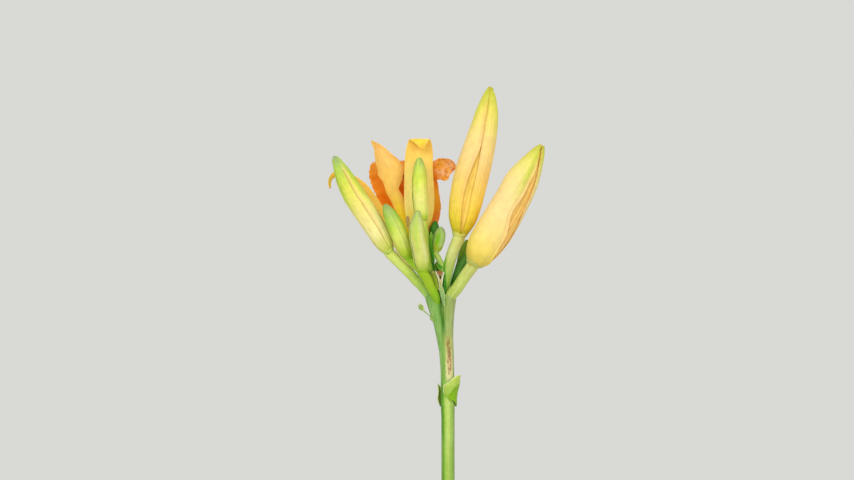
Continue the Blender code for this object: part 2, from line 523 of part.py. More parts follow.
def main():
    for thing in list(bpy.data.objects):
        bpy.data.objects.remove(thing)
    make_bottle()
    make_water()
    make_scape()
    make_scape_bract()
    make_small_pieces()
    for carried, (route, foot_radius, top_radius) in STALKS.items():
        ends = TUBE_ROUTE[:2] if carried == "flower_tube" else BUDS[carried][:2]
        axis = (Vector(ends[1]) - Vector(ends[0])).normalized()
        name = carried.replace("_bud", "_stalk").replace("_tube", "_stalk")
        make_stalk(name, route, foot_radius, top_radius, ends[0], axis)
    for name, bud in BUDS.items():
        colour = (0.55, 0.70, 0.18) if YOUNG_OUTLINE in bud else (0.94, 0.76, 0.20)
        make_bud(name, *bud, colour)
    make_tube()
    for name, sepal in SEPALS.items():
        make_blade(name, **sepal, colour=(0.95, 0.66, 0.16), rows=15, columns=4)
    for name, petal in PETALS.items():
        make_blade(name, **petal, colour=(0.90, 0.42, 0.05), rows=15, columns=6)
    for index in range(STAMEN_COUNT):
        angle = math.tau * (index + 0.5) / STAMEN_COUNT
        height = STAMEN_HEIGHT + STAMEN_VARIATION * math.cos(2 * angle)
        make_stamen(f"stamen_{index + 1}", angle, height, STAMEN_RING, ANTHER_RADIUS, STAMEN_SPREAD,
                    (0.62, 0.40, 0.10))
    make_stamen("pistil", 0.0, PISTIL_HEIGHT, 0.0, STIGMA_RADIUS, 0.0, (0.85, 0.60, 0.15))


main()
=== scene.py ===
import math

import bmesh
import bpy
import numpy as np
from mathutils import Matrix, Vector


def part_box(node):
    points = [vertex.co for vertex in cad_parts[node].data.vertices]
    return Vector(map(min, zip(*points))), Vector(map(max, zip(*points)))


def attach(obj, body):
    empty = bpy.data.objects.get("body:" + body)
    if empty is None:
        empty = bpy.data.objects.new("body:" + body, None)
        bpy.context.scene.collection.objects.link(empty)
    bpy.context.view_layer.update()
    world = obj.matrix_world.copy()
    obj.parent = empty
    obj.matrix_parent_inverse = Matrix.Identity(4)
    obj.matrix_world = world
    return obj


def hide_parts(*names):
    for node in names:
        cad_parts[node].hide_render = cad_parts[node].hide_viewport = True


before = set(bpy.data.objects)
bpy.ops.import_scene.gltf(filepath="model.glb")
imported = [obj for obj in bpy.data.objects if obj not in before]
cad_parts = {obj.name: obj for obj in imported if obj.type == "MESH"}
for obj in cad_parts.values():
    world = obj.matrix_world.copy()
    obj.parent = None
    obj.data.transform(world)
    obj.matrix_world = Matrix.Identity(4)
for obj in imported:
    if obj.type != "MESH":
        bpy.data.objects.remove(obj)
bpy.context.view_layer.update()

# A cut daylily in a clear glass bottle: one scape that forks into two arms, eleven stalks, ten closed
# buds and one open flower. Lengths are in millimetres until a mesh is made, and azimuths in degrees,
# from the front (-Y) towards the right (+X).

MM = 0.001
BODY = "root"

# The plant's measures. Routes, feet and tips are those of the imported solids.

# Each row: height, centre x, half distance between the two arms, left arm radius, right arm radius.
SCAPE_STATIONS = (
    (5.5, 0.6, 0, 3.3, 3.3),
    (100, -2.5, 0, 3.4, 3.4),
    (203, -5.8, 0, 3.4, 3.4),
    (236, -5.8, 0, 3.4, 3.4),
    (242, -5.9, 0, 3.7, 3.7),
    (248, -6, 0, 3.5, 3.5),
    (260, -6.1, 0, 3.5, 3.5),
    (270, -6.6, 0.35, 3.45, 3.4),
    (277, -7.3, 1.2, 3.25, 3),
    (284, -8, 2.2, 3.1, 2.9),
    (291, -8.9, 3.2, 3.6, 3.3),
    (297, -9.4, 4, 4.2, 3.9),
)
ARM_WAIST = 1.6                 # how far the web between the arms reaches from the centre line
SCAR_TOP = 278                  # height of the old wound's top
SCAR_SLANT = 0.25               # degrees that the wound's middle turns for each millimetre of height

# Outlines of the buds from foot (0) to tip (1), as shares of the greatest radius, and how far the axis of
# each large one sways sideways.
LEFT_OUTLINE = ((0, 0.4), (0.02, 0.54), (0.1, 0.81), (0.23, 0.95), (0.37, 0.99), (0.52, 1),
                (0.64, 0.96), (0.755, 0.84), (0.877, 0.6), (0.945, 0.43), (0.978, 0.32), (0.993, 0.19),
                (1, 0.06))
LEFT_SWAY = ((0, 0), (0.25, -0.1), (0.5, -0.85), (0.62, -1.2), (0.75, -0.95), (0.88, -0.4), (1, 0))
TALL_OUTLINE = ((0, 0.38), (0.035, 0.53), (0.1, 0.78), (0.19, 0.94), (0.3, 1.005), (0.42, 1.01),
                (0.52, 0.97), (0.63, 0.89), (0.75, 0.765), (0.84, 0.645), (0.91, 0.48), (0.965, 0.3),
                (1, 0.12))
TALL_SWAY = ((0, 0), (0.19, -0.3), (0.3, -0.4), (0.42, -0.2), (0.51, 0.2), (0.62, 0.7), (0.75, 1.1),
             (0.84, 0.95), (0.92, 0.6), (1, 0))
RIGHT_OUTLINE = ((0, 0.38), (0.03, 0.55), (0.072, 0.725), (0.143, 0.89), (0.25, 0.98), (0.353, 0.98),
                 (0.456, 0.955), (0.575, 0.92), (0.673, 0.9), (0.74, 0.825), (0.81, 0.69), (0.884, 0.51),
                 (0.95, 0.35), (1, 0.16))
RIGHT_SWAY = ((0, 0), (0.15, -0.1), (0.3, 0.45), (0.58, 0.4), (0.68, -0.1), (0.85, -0.3), (1, -0.4))
YOUNG_OUTLINE = ((0, 0.58), (0.05, 0.74), (0.16, 0.88), (0.38, 1), (0.6, 0.98), (0.76, 0.86),
                 (0.88, 0.65), (0.95, 0.44), (0.985, 0.26), (1, 0.1))
SLENDER_OUTLINE = ((0, 0.62), (0.04, 0.78), (0.12, 0.92), (0.3, 0.99), (0.46, 1), (0.6, 0.95),
                   (0.72, 0.87), (0.82, 0.75), (0.89, 0.62), (0.945, 0.47), (0.985, 0.28), (1, 0.1))
CENTRE_SWAY = ((0, 0), (0.15, -0.75), (0.31, -0.9), (0.47, -0.9), (0.63, -0.75), (0.8, -0.4), (1, 0))
FRONT_SWAY = ((0, 0), (0.1, -0.4), (0.21, -0.5), (0.32, -0.75), (0.44, -1.2), (0.57, -1.6), (0.71, -1.5),
              (0.86, -0.9), (1, 0))
STRAIGHT = ((0, 0), (1, 0))

FLUTE_DEPTH = 0.14              # the lengthwise flutes of a closed sepal, and a finer set across them
FINE_FLUTE_DEPTH = 0.09
KEEL_HEIGHT = 0.26              # along a closed sepal's midrib
SHELL_THICKNESS = 0.42          # of a closed sepal, and how much thinner its margins are
SHELL_THINNING = 0.22
FOLD_DEPTH = 0.14               # of the petals folded inside, and how far they lie under the sepals
FOLD_INSET = 0.65
PLEAT_DEPTH = 0.07              # of an open sepal or petal
MARGIN_THICKNESS = 0.22         # of an open sepal or petal

# Where two sepals meet: place along the bud, then how far the margin on the left and the margin on the
# right lie from the seam. The left one lies over the right one where its figure is the greater.
SHUT = ((0, 3, -5), (1, 3, -5))
AJAR = ((0, -2, 2), (0.1, -7, 7), (0.3, -8, 6), (0.5, 3, -5), (1, 3, -5))
WRAPPED = ((0, -24, -33), (1, -24, -33))
TALL_SEAM = ((0, 0, 6), (0.05, -7, 8), (0.11, -12.5, 9.5), (0.18, -15.5, 10),
             (0.25, -17, 8.5), (0.32, -16, 8), (0.385, -14.2, 8.5), (0.453, -10.5, 7.5),
             (0.512, -6, 5), (0.562, -2.5, 2.8), (0.6, -0.3, 0.8), (0.63, -0.5, -2.5),
             (0.7, -4, -8.5), (0.78, -7, -11.5), (0.85, -8, -12.5), (1, -9.5, -13.5))
RIGHT_SEAM = ((0, 50, 66), (0.05, 40, 60), (0.103, 22, 54), (0.185, 12, 49),
              (0.255, 7, 46), (0.328, 0.5, 43), (0.395, -8, 37), (0.458, -17.5, 28),
              (0.522, -19, 21), (0.593, -14.5, 20), (0.675, -10.5, 17.5), (0.753, -9.5, 15),
              (0.83, -7.5, 9), (0.888, -12, 1), (0.935, -21, -9), (0.975, -33, -24),
              (1, -38, -34))

# Buds: foot, tip, greatest radius, outline, sway, first seam, the three seams' margins, how far a margin
# stands proud at each seam, how far each sepal's midrib lies from its middle, and whether the sepals' tips
# end in callous knobs.
BUDS = {
    "left_bud": dict(
        foot=(-36.3, 1, 321.6), tip=(-64.9, -6, 371.2), radius=5.8, outline=LEFT_OUTLINE, sway=LEFT_SWAY,
        seam=12, margins=(SHUT, AJAR, AJAR), lift=(0.22, 0.3, 0.3), aside=(-10, 0, 0)),
    "tall_bud": dict(
        foot=(0.1, -1, 329.9), tip=(16.2, -5, 407), radius=8.7, outline=TALL_OUTLINE, sway=TALL_SWAY,
        seam=6, margins=(TALL_SEAM, AJAR, AJAR), lift=(0.22, 0.3, 0.3), knobs=True),
    "right_bud": dict(
        foot=(7.2, -6.1, 315), tip=(42.8, -14, 376.2), radius=9.8, outline=RIGHT_OUTLINE, sway=RIGHT_SWAY,
        seam=40, margins=(RIGHT_SEAM, AJAR, WRAPPED), lift=(0.5, 0.3, 0.2), aside=(0, 0, 52),
        knobs=True),
    "centre_bud": dict(
        foot=(-18.9, 0, 338.7), tip=(-20.7, -2, 370.7), radius=3.9, outline=SLENDER_OUTLINE,
        sway=CENTRE_SWAY, seam=46),
    "front_bud": dict(
        foot=(-18.8, -7.5, 311.8), tip=(-21.4, -12, 343), radius=4, outline=SLENDER_OUTLINE,
        sway=FRONT_SWAY, seam=54),
    "inner_left_bud": dict(
        foot=(-26.4, -2, 319), tip=(-38.6, -9, 346.4), radius=4.1, outline=YOUNG_OUTLINE,
        sway=((0, 0), (0.5, 0.3), (1, 0)), seam=18),
    "small_bud": dict(
        foot=(-11.9, -1, 322.2), tip=(-9.1, -3, 334.6), radius=3, outline=YOUNG_OUTLINE, sway=STRAIGHT,
        seam=50),
    "shaded_bud": dict(
        foot=(-14.2, 5.4, 322.6), tip=(-12.3, 6, 337.9), radius=2.6, outline=YOUNG_OUTLINE, sway=STRAIGHT,
        seam=20),
    "upper_back_bud": dict(
        foot=(0.2, 8.4, 316), tip=(4.5, 9.4, 328), radius=1.9, outline=YOUNG_OUTLINE, sway=STRAIGHT,
        seam=10),
    "lower_back_bud": dict(
        foot=(-2.6, 4.6, 306.5), tip=(4, 3.4, 320.6), radius=2.1, outline=YOUNG_OUTLINE, sway=STRAIGHT,
        seam=30),
}
LARGE = 5.0                     # a bud with a greater radius than this is large

# Stalks: a root sunk in the arm below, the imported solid's route, then its radius at root, foot and top.
STALKS = {
    "left_stalk": ((-13, 0.2, 291), ((-15.3, 0.2, 298.2), (-19.5, 0.2, 303.7), (-22.7, 0.3, 307),
                                        (-26.2, 0.4, 311)), (2.3, 2.4, 2.8)),
    "tall_stalk": ((-6.3, 1.6, 288), ((-7.5, 2.5, 297.4), (-7.2, 1.6, 303.5), (-6, 0.6, 311),
                                        (-3.6, -0.3, 320.5)), (1.6, 2.3, 3.2)),
    "right_stalk": ((-5.4, 0.4, 292), ((-4.4, -0.6, 298.4), (-0.9, -3, 303), (3, -4.5, 309)),
                    (2, 2.9, 3.2)),
    "front_stalk": ((-10.6, -0.6, 292.6), ((-12.2, -3.4, 298), (-14.9, -5.4, 303.6), (-16.7, -6.6, 307.8)),
                    (0.8, 2, 2.6)),
    "inner_left_stalk": ((-14.6, -1.4, 300), ((-18.4, -2.4, 308.6), (-21.4, -2.6, 313.2)), (1.1, 1.5, 2.3)),
    "centre_stalk": ((-10.6, 0.4, 290), ((-11.2, 0.7, 300.4), (-13.6, 0.8, 306.5), (-15.8, 0.5, 314),
                                           (-16.8, 0.2, 325)), (1.1, 1.5, 2.2)),
    "flower_stalk": ((-12, 2, 289), ((-13.2, 5.6, 298.4), (-15, 6.6, 303)), (1.5, 2.1, 2.4)),
    "small_stalk": ((-8.6, -0.2, 297), ((-8.6, -0.3, 312.4), (-10.4, -0.6, 317.6)), (1, 1.1, 1.6)),
    "shaded_stalk": ((-10.4, 2.4, 294), ((-11.2, 4, 304.4), (-13.4, 4.4, 309.5), (-14.5, 4.9, 316)),
                     (0.9, 1.2, 1.5)),
    "upper_back_stalk": ((-5.6, 2.6, 291), ((-3.7, 8, 303), (-1.9, 8.2, 309.5)), (0.9, 1.2, 1.3)),
    "lower_back_stalk": ((-5.2, 1.6, 290), ((-4.4, 4.7, 300), (-4, 4.7, 302.6)), (1, 1.4, 1.4)),
}

TUBE_ROUTE = ((-18.5, 8.5, 308.9), (-20.8, 10.3, 316.5), (-23, 12, 325))
TUBE_OUTLINE = ((0, 2.5), (0.5, 3.2), (1, 5.2))


def steady(depth):
    """Cup of the same depth all along, at the left and at the right."""
    return ((0.0, depth, depth), (1.0, depth, depth))


# Blades: the midrib's route, the direction of the width (one, or by place), the width by place, the depth
# of the cup at its left and its right by place, and the height and number of the margin's ruffles.
SEPALS = {
    "sepal_front": dict(
        route=((-23, 7.4, 325.5), (-21, 5.6, 335.6), (-20.7, 4.8, 348.7), (-21, 5.2, 364.4),
               (-20.6, 5.6, 375.6), (-20.2, 4.2, 380.2), (-19.5, 1.2, 379), (-19, 0, 374.6)),
        across=((0, (1, 0, 0)), (0.52, (1, 0, 0)), (0.68, (1, 0, -0.07)), (0.8, (1, 0, -0.05)),
                (1, (1, 0, 0))),
        widths=((0, 5.6), (0.1, 8.8), (0.16, 11.6), (0.27, 15), (0.37, 15.9), (0.5, 15.6), (0.62, 14.9),
                (0.8, 13.6), (0.86, 11.8), (0.93, 7.2), (0.98, 2.8), (1, 0.8)),
        cup=((0, 2, 2), (0.55, 2.2, 2.2), (0.7, 1, 1.6), (0.8, -1.6, 0.5), (0.88, -1.2, 0.2),
             (1, 0, 0)), ruffle=0.15, ruffles=3),
    "sepal_left": dict(
        route=((-27.3, 13.6, 325.5), (-35, 14.6, 331), (-45, 13.5, 342), (-53.4, 11.2, 354.4),
               (-59.3, 9.6, 360.4), (-62.8, 8.6, 362.4), (-65.2, 7.8, 361.8), (-66.9, 7.4, 360.1),
               (-67.6, 7.2, 357.6), (-67.3, 7.2, 354.8)),
        across=((0, (-0.2, -0.98, 0)), (0.35, (0.5, -0.6, 0.6)), (0.72, (0.5, -0.5, 0.7)),
                (0.82, (0, -0.5, 0.85)), (0.9, (-0.7, -0.5, 0.5)), (1, (-0.85, -0.5, 0.1))),
        widths=((0, 5), (0.12, 6.4), (0.3, 11), (0.45, 13), (0.6, 11.6), (0.72, 8), (0.8, 5.6),
                (0.88, 3.1), (0.95, 1.7), (0.985, 1.3), (1, 0.8)),
        cup=steady(1.6), ruffle=0.2, ruffles=3),
    "sepal_back": dict(
        route=((-19.8, 15.8, 325.5), (-18.8, 20.2, 336), (-19, 27, 347.5), (-19.5, 35, 355.5),
               (-20, 43, 359), (-20, 49.5, 356.5), (-20, 52.5, 351)),
        across=((0, (-0.77, 0.64, 0)), (0.3, (-0.95, 0.3, 0)), (1, (-1, 0, 0))),
        widths=((0, 5), (0.12, 7), (0.3, 11.6), (0.5, 13.6), (0.7, 12.8), (0.84, 9), (0.93, 4.6),
                (1, 0.8)),
        cup=steady(1.6), ruffle=0.2, ruffles=3),
}
PETALS = {
    "petal_left": dict(
        route=((-25.6, 10.5, 325.5), (-27, 10, 334.5), (-28.7, 9.8, 340), (-32.2, 9.5, 348.7),
               (-34.9, 9.2, 354), (-35.2, 8.9, 360.2), (-36.5, 8.5, 365.2), (-38.9, 8, 369.4),
               (-41.1, 7.4, 373.8), (-42.6, 7, 376.3), (-45.8, 6, 379.5)),
        across=((0, (0.5, -0.87, 0)), (0.2, (0.9, -0.4, 0.1)), (0.41, (0.88, -0.1, 0.45)),
                (0.515, (0.93, -0.1, 0.34)), (0.617, (0.97, -0.1, 0.24)), (0.71, (0.94, -0.1, 0.34)),
                (0.78, (0.98, -0.1, 0.17)), (0.845, (0.98, -0.1, 0.19)), (0.93, (0.96, -0.1, 0.27)),
                (1, (0.85, -0.1, 0.5))),
        widths=((0, 4.4), (0.15, 5.6), (0.255, 6.4), (0.416, 6.8), (0.519, 7.2), (0.625, 12),
                (0.67, 14), (0.714, 13), (0.796, 10.2), (0.88, 6.6), (0.923, 4.4), (0.97, 2.2),
                (1, 0.8)),
        cup=((0, 2, 2), (0.4, 2.4, 2.4), (0.7, 3, 3), (1, 2, 2)), ruffle=0.5, ruffles=3),
    "petal_right": dict(
        route=((-20.4, 10.5, 325.5), (-16.2, 11, 334.5), (-14.9, 11.2, 344), (-15, 11.4, 351),
               (-15.6, 11.9, 357), (-16.1, 12, 361), (-14.3, 11.6, 363), (-11, 10.9, 364.6),
               (-8.3, 10.2, 365.4), (-5.95, 9.4, 366.2), (-3.85, 8.7, 366.2), (-2.3, 8.2, 365.7),
               (-1.6, 8, 365.3)),
        across=((0, (0.5, 0.87, 0)), (0.2, (0.9, 0.4, 0)), (0.5, (0.92, 0.3, 0)),
                (0.61, (0.9, 0.3, 0.1)), (0.748, (0.3, 0.2, -0.95)), (0.82, (0.2, 0.25, -0.95)),
                (1, (0.1, 0.3, -0.95))),
        widths=((0, 4.4), (0.12, 9), (0.25, 12.4), (0.364, 12.8), (0.495, 12.2), (0.61, 10.2),
                (0.686, 9), (0.738, 8.8), (0.808, 10.7), (0.862, 12.2), (0.911, 10.6), (0.953, 8.8),
                (0.984, 4.8), (1, 2)),
        cup=((0, 1.6, 1.6), (0.6, 1.4, 1.4), (0.8, -1.6, -2.4), (0.9, -2.6, -3.4), (1, -2, -3)),
        ruffle=0.6, ruffles=4),
    "petal_back": dict(
        route=((-23, 15, 325.5), (-25.2, 17.6, 336), (-28, 19.8, 348), (-29.6, 22.2, 358),
               (-30.8, 25.6, 366), (-31.4, 30, 369.6), (-31.6, 34.6, 368.4)),
        across=(-1, 0, 0),
        widths=((0, 4.6), (0.12, 9.4), (0.3, 19.6), (0.5, 28.5), (0.64, 33), (0.76, 33.6), (0.86, 27),
                (0.94, 15), (1, 2)),
        cup=steady(4.2), ruffle=1, ruffles=4),
}

# Stamens and pistil, as packed.
THROAT = (-23, 12, 325.5)
STAMEN_RING = 1.35
STAMEN_HEIGHT = 36.0
STAMEN_VARIATION = 2.0
STAMEN_SPREAD = 2.6
STAMEN_LEAN = (-0.06, 0.09, 0)
PISTIL_HEIGHT = 43.0

# Shapes

def flow(table, places):
    """Smooth curve through the rows of a (place, value, ...) table, read at some places."""
    rows = np.array([[row[0], *np.ravel(row[1:])] for row in table], dtype=float)
    marks, values = rows[:, 0], rows[:, 1:]
    slopes = np.gradient(values, marks, axis=0)
    places = np.clip(np.asarray(places, dtype=float), marks[0], marks[-1])
    at = np.clip(np.searchsorted(marks, places, side="right") - 1, 0, len(marks) - 2)
    step = (marks[at + 1] - marks[at])[..., None]
    t = (places[..., None] - marks[at][..., None]) / step
    result = ((2 * t ** 3 - 3 * t ** 2 + 1) * values[at] + (t ** 3 - 2 * t ** 2 + t) * step * slopes[at]
              + (3 * t ** 2 - 2 * t ** 3) * values[at + 1] + (t ** 3 - t ** 2) * step * slopes[at + 1])
    return result[..., 0] if values.shape[1] == 1 else result


def ease(low, high, values):
    """0 below low, 1 above high, smooth between; the other way round if low is the greater."""
    t = np.clip((values - low) / (high - low), 0, 1)
    return t * t * (3 - 2 * t)


def unit(vectors):
    """Vectors of length 1."""
    return vectors / np.maximum(np.linalg.norm(vectors, axis=-1, keepdims=True), 1e-9)


def route_line(points, count):
    """Points spaced evenly along a smooth curve through a route, with the tangent at each."""
    knots = np.array(points, dtype=float)
    knots = np.vstack([2 * knots[0] - knots[1], knots, 2 * knots[-1] - knots[-2]])
    t = np.arange(24)[:, None] / 24
    fine = []
    for before, start, end, after in zip(knots, knots[1:], knots[2:], knots[3:]):
        square, cube = 2 * before - 5 * start + 4 * end - after, 3 * start - before - 3 * end + after
        fine.append(0.5 * (2 * start + (end - before) * t + square * t ** 2 + cube * t ** 3))
    fine = np.vstack([*fine, knots[-2]])
    lengths = np.concatenate([[0], np.cumsum(np.linalg.norm(np.diff(fine, axis=0), axis=1))])
    places = np.linspace(0, 1, count) * lengths[-1]
    line = np.stack([np.interp(places, lengths, fine[:, axis]) for axis in range(3)], axis=1)
    return line, unit(np.gradient(line, places, axis=0))


def ring_body(rings, marks):
    """Closed body through rings of points, each end closed to a point in its middle."""
    rows, sides = rings.shape[:2]
    verts = np.vstack([rings.reshape(-1, 3), rings[0].mean(0), rings[-1].mean(0)])
    faces = []
    for row in range(rows - 1):
        base, above = row * sides, (row + 1) * sides
        for side in range(sides):
            following = (side + 1) % sides
            faces.append((base + side, base + following, above + following, above + side))
    last, foot, top = (rows - 1) * sides, rows * sides, rows * sides + 1
    for side in range(sides):
        following = (side + 1) % sides
        faces.append((side, foot, following))
        faces.append((last + side, last + following, top))
    spread = {}
    for name, values in marks.items():
        values = np.broadcast_to(values, (rows, sides, *np.shape(values)[2:])).reshape(rows * sides, -1)
        spread[name] = np.vstack([values, values[:sides].mean(0), values[-sides:].mean(0)])
    return verts, faces, spread


def leaf_body(upper, lower, marks):
    """Closed sheet between two grids of points, joined around their margins. A mark is the same on both, or
    a pair."""
    rows, columns = upper.shape[:2]
    size = rows * columns
    verts = np.vstack([upper.reshape(-1, 3), lower.reshape(-1, 3)])
    faces = []
    for row in range(rows - 1):
        for column in range(columns - 1):
            a = row * columns + column
            quad = (a, a + 1, a + columns + 1, a + columns)
            faces.append(quad)
            faces.append(tuple(size + index for index in reversed(quad)))
    index = np.arange(size).reshape(rows, columns)
    rim = np.concatenate([index[0], index[1:, -1], index[-1, -2::-1], index[-2:0:-1, 0]]).tolist()
    for a, b in zip(rim, rim[1:] + rim[:1]):
        faces.append((a, size + a, size + b, b))
    spread = {}
    for name, values in marks.items():
        pair = values if isinstance(values, tuple) else (values, values)
        spread[name] = np.stack([np.broadcast_to(side, (rows, columns)) for side in pair]).reshape(-1, 1)
    return verts, faces, spread


def make_piece(name, bodies, material, slot, *nodes):
    """One mesh object from closed bodies, in metres, riding on the model's body and standing for nodes."""
    mesh = bpy.data.meshes.new(name)
    verts, faces, start = [], [], 0
    for points, polygons, _ in bodies:
        verts.append(points)
        faces.extend(tuple(start + index for index in polygon) for polygon in polygons)
        start += len(points)
    mesh.from_pydata((np.vstack(verts) * MM).tolist(), [], faces)
    bm = bmesh.new()
    bm.from_mesh(mesh)
    bmesh.ops.recalc_face_normals(bm, faces=bm.faces)
    bm.to_mesh(mesh)
    bm.free()
    for mark in bodies[0][2]:
        values = np.concatenate([body[2][mark] for body in bodies]).astype(np.float32)
        kind, key = ('FLOAT', "value") if values.shape[1] == 1 else ('FLOAT_VECTOR', "vector")
        mesh.attributes.new(mark, kind, 'POINT').data.foreach_set(key, values.ravel())
    mesh.shade_smooth()
    mesh.materials.append(material)
    piece = bpy.data.objects.new(name, mesh)
    bpy.context.scene.collection.objects.link(piece)
    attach(piece, BODY)
    if nodes:
        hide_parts(*nodes)
    return piece


def tube_rings(line, tangents, radii, sides):
    """Rings of points square to a line; radii may be one for each ring or one for each point."""
    across = unit(np.cross((0.0, 1.0, 0.0), tangents))
    near = unit(np.cross(across, tangents))
    turn = np.linspace(0, math.tau, sides, endpoint=False)
    radii = np.asarray(radii, dtype=float)
    radii = np.broadcast_to(radii[:, None] if radii.ndim == 1 else radii, (len(line), sides))
    ways = near[:, None] * np.cos(turn)[None, :, None] + across[:, None] * np.sin(turn)[None, :, None]
    return line[:, None] + ways * radii[..., None]


def grown(rings):
    """Where each point of a stalk would be, in metres, if the stalk had grown straight up."""
    centre = rings.mean(axis=1)
    radius = np.linalg.norm(rings - centre[:, None], axis=2).mean(axis=1)[:, None]
    run = np.concatenate([[0], np.cumsum(np.linalg.norm(np.diff(centre, axis=0), axis=1))])[:, None]
    turn = np.linspace(0, math.tau, rings.shape[1], endpoint=False)[None]
    return np.stack([radius * np.cos(turn), radius * np.sin(turn), run + 0 * turn], axis=-1) * MM


def knob(centre, axis, length, radius, marks):
    """Small rounded swelling, longer than it is wide."""
    angles = np.linspace(0.12, math.pi - 0.12, 11)
    line = np.asarray(centre) + np.outer(-np.cos(angles) * length, axis)
    rings = tube_rings(line, np.broadcast_to(axis, line.shape), np.sin(angles) * radius, 14)
    return ring_body(rings, marks)


# Buds

class Spindle:
    """A closed bud's axis and outline, on which its sepals lie."""

    def __init__(self, foot, tip, radius, outline, sway):
        self.foot, self.tip = np.array(foot), np.array(tip)
        self.length = np.linalg.norm(self.tip - self.foot)
        self.axis = (self.tip - self.foot) / self.length
        self.right = unit(np.cross((0.0, 1.0, 0.0), self.axis))
        self.near = np.cross(self.right, self.axis)
        self.radius, self.outline, self.sway = radius, outline, sway

    def reach(self, along):
        """The bud's radius at a place along it."""
        return flow(self.outline, along) * self.radius

    def at(self, along, azimuth, reach):
        """Points at places along the bud, azimuths and distances from its axis."""
        along = np.asarray(along, dtype=float)
        centre = self.foot + (self.tip - self.foot) * along[..., None]
        centre += self.right * flow(self.sway, along)[..., None]
        turn = np.radians(azimuth)[..., None]
        return centre + (self.near * np.cos(turn) + self.right * np.sin(turn)) * np.asarray(reach)[..., None]


def sepal_shell(spindle, start, end, before, lift, tuck, aside, seed, ribs, rows, columns):
    """One sepal of a closed bud, from the margin at start to the one at end, which stands proud by lift. Its
    start is tucked in where the margin before it, of the sepal next to it, lies over it. Its midrib lies
    so many degrees aside from its middle."""
    along = 0.5 - 0.5 * np.cos(np.linspace(0.0, 1.0, rows) ** 0.9 * math.pi)
    along = 0.6 * along + 0.4 * np.linspace(0, 1, rows)
    share = 0.5 - 0.5 * np.cos(np.linspace(0, math.pi, columns))
    share = 0.55 * share + 0.45 * np.linspace(0, 1, columns)
    first, last = start(along)[:, None], end(along)[:, None]
    azimuth = first + (last - first) * share[None, :]
    along = np.broadcast_to(along[:, None], azimuth.shape)
    reach = spindle.reach(along)
    middle = (first + last) / 2
    midrib = middle + aside
    from_start = np.radians(azimuth - first) * reach
    from_end = np.radians(last - azimuth) * reach
    body = np.clip(reach / 4, 0.15, 1)
    calm = ease(0.0, 0.1, along) * ease(1.0, 0.8, along)
    across = 2 * np.broadcast_to(share, azimuth.shape) - 1
    flutes = FLUTE_DEPTH * np.cos(math.tau * ribs * across + seed + 2 * np.sin(3 * along)) * calm
    finer = np.cos(math.tau * 0.62 * ribs * across + 2.3 * seed - np.sin(5 * along))
    flutes += FINE_FLUTE_DEPTH * finer * calm
    keel = KEEL_HEIGHT * np.exp(-(np.radians(azimuth - midrib) * reach) ** 2) * calm
    surface = reach * (1 + 0.035 * np.cos(np.radians(3 * (azimuth - middle))))
    surface += (flutes + keel) * body
    tucked = ease(4.0, -2.0, first - before(along[:, :1]))
    surface -= (0.15 + tuck * tucked) * body * (0.3 + 0.7 * calm) * np.exp(-(from_start / 0.9) ** 2)
    sway = 1 + 0.5 * np.sin(along * 23 + seed) + 0.3 * np.sin(along * 41 + 2 * seed)
    surface += lift * body * sway * calm * np.exp(-(from_end / 1.3) ** 2)
    edge = np.minimum(from_start, from_end)
    thickness = (SHELL_THICKNESS - SHELL_THINNING * np.exp(-(edge / 0.8) ** 2)) * body
    outer = spindle.at(along, azimuth, np.maximum(surface, 0.06))
    inner = spindle.at(along, azimuth, np.maximum(surface - thickness, 0.03))
    marks = dict(along=along, across=across, edge=edge, inner=(0.0, 1.0), side=from_end - from_start,
                 rib=np.abs(azimuth - midrib) / 60)
    return leaf_body(outer, inner, marks)


def bud_bodies(foot, tip, radius, outline, sway, seam, margins=(SHUT,) * 3, lift=(0.15,) * 3,
               aside=(0, 0, 0), knobs=False):
    """A closed bud: three sepals over the petals folded inside, and the knobs at the sepals' tips if any."""
    spindle = Spindle(foot, tip, radius, outline, sway)
    large = radius > LARGE
    rows, columns, ribs, tuck = (96, 38, 7, 0.4) if large else (64, 24, 5, 0.1)
    bodies = []

    def margin(place, column):
        """Azimuth of a margin at seam number place; column 1 is the left one, 2 the right one."""
        table = margins[place % 3]
        nominal = seam + 120 * place
        return lambda along: nominal + flow([(row[0], row[column]) for row in table], along)

    for sepal in range(3):
        bodies.append(sepal_shell(spindle, margin(sepal, 2), margin(sepal + 1, 1), margin(sepal, 1),
                                  lift[(sepal + 1) % 3], tuck, aside[sepal], 1.7 * sepal + radius, ribs,
                                  rows, columns))
        if knobs:
            size = 0.105 * radius
            centre = spindle.at(np.array(0.975), np.array(seam + 60 + 120 * sepal), np.array(size))
            marks = dict(along=1.0, across=0.0, edge=5.0, inner=0.0, side=0.0, rib=1.0)
            bodies.append(knob(centre, spindle.axis, 2.2, size, marks))

    along = np.linspace(-0.02, 0.965, rows)[:, None]
    azimuth = np.linspace(-180, 180, 144, endpoint=False)[None, :]
    folds = np.radians(azimuth) * round(2.5 * radius) + 1.5 * np.sin(6 * along)
    reach = spindle.reach(along)
    body = np.clip(reach / 4, 0.15, 1)
    reach = reach * (1 - 0.02 * np.cos(np.radians(3 * (azimuth - seam)))) - FOLD_INSET * body
    reach = np.maximum(reach + FOLD_DEPTH * body * np.sin(folds) * ease(0.0, 0.2, along), 0.2)
    along = np.broadcast_to(along, reach.shape)
    rings = spindle.at(along, np.broadcast_to(azimuth, reach.shape), reach)
    marks = dict(along=np.clip(along, 0, 1), across=folds, edge=5.0, inner=ease(0.02, 0.06, along), side=0.0,
                 rib=1.0)
    bodies.append(ring_body(rings, marks))
    return bodies


# Stalks and scape

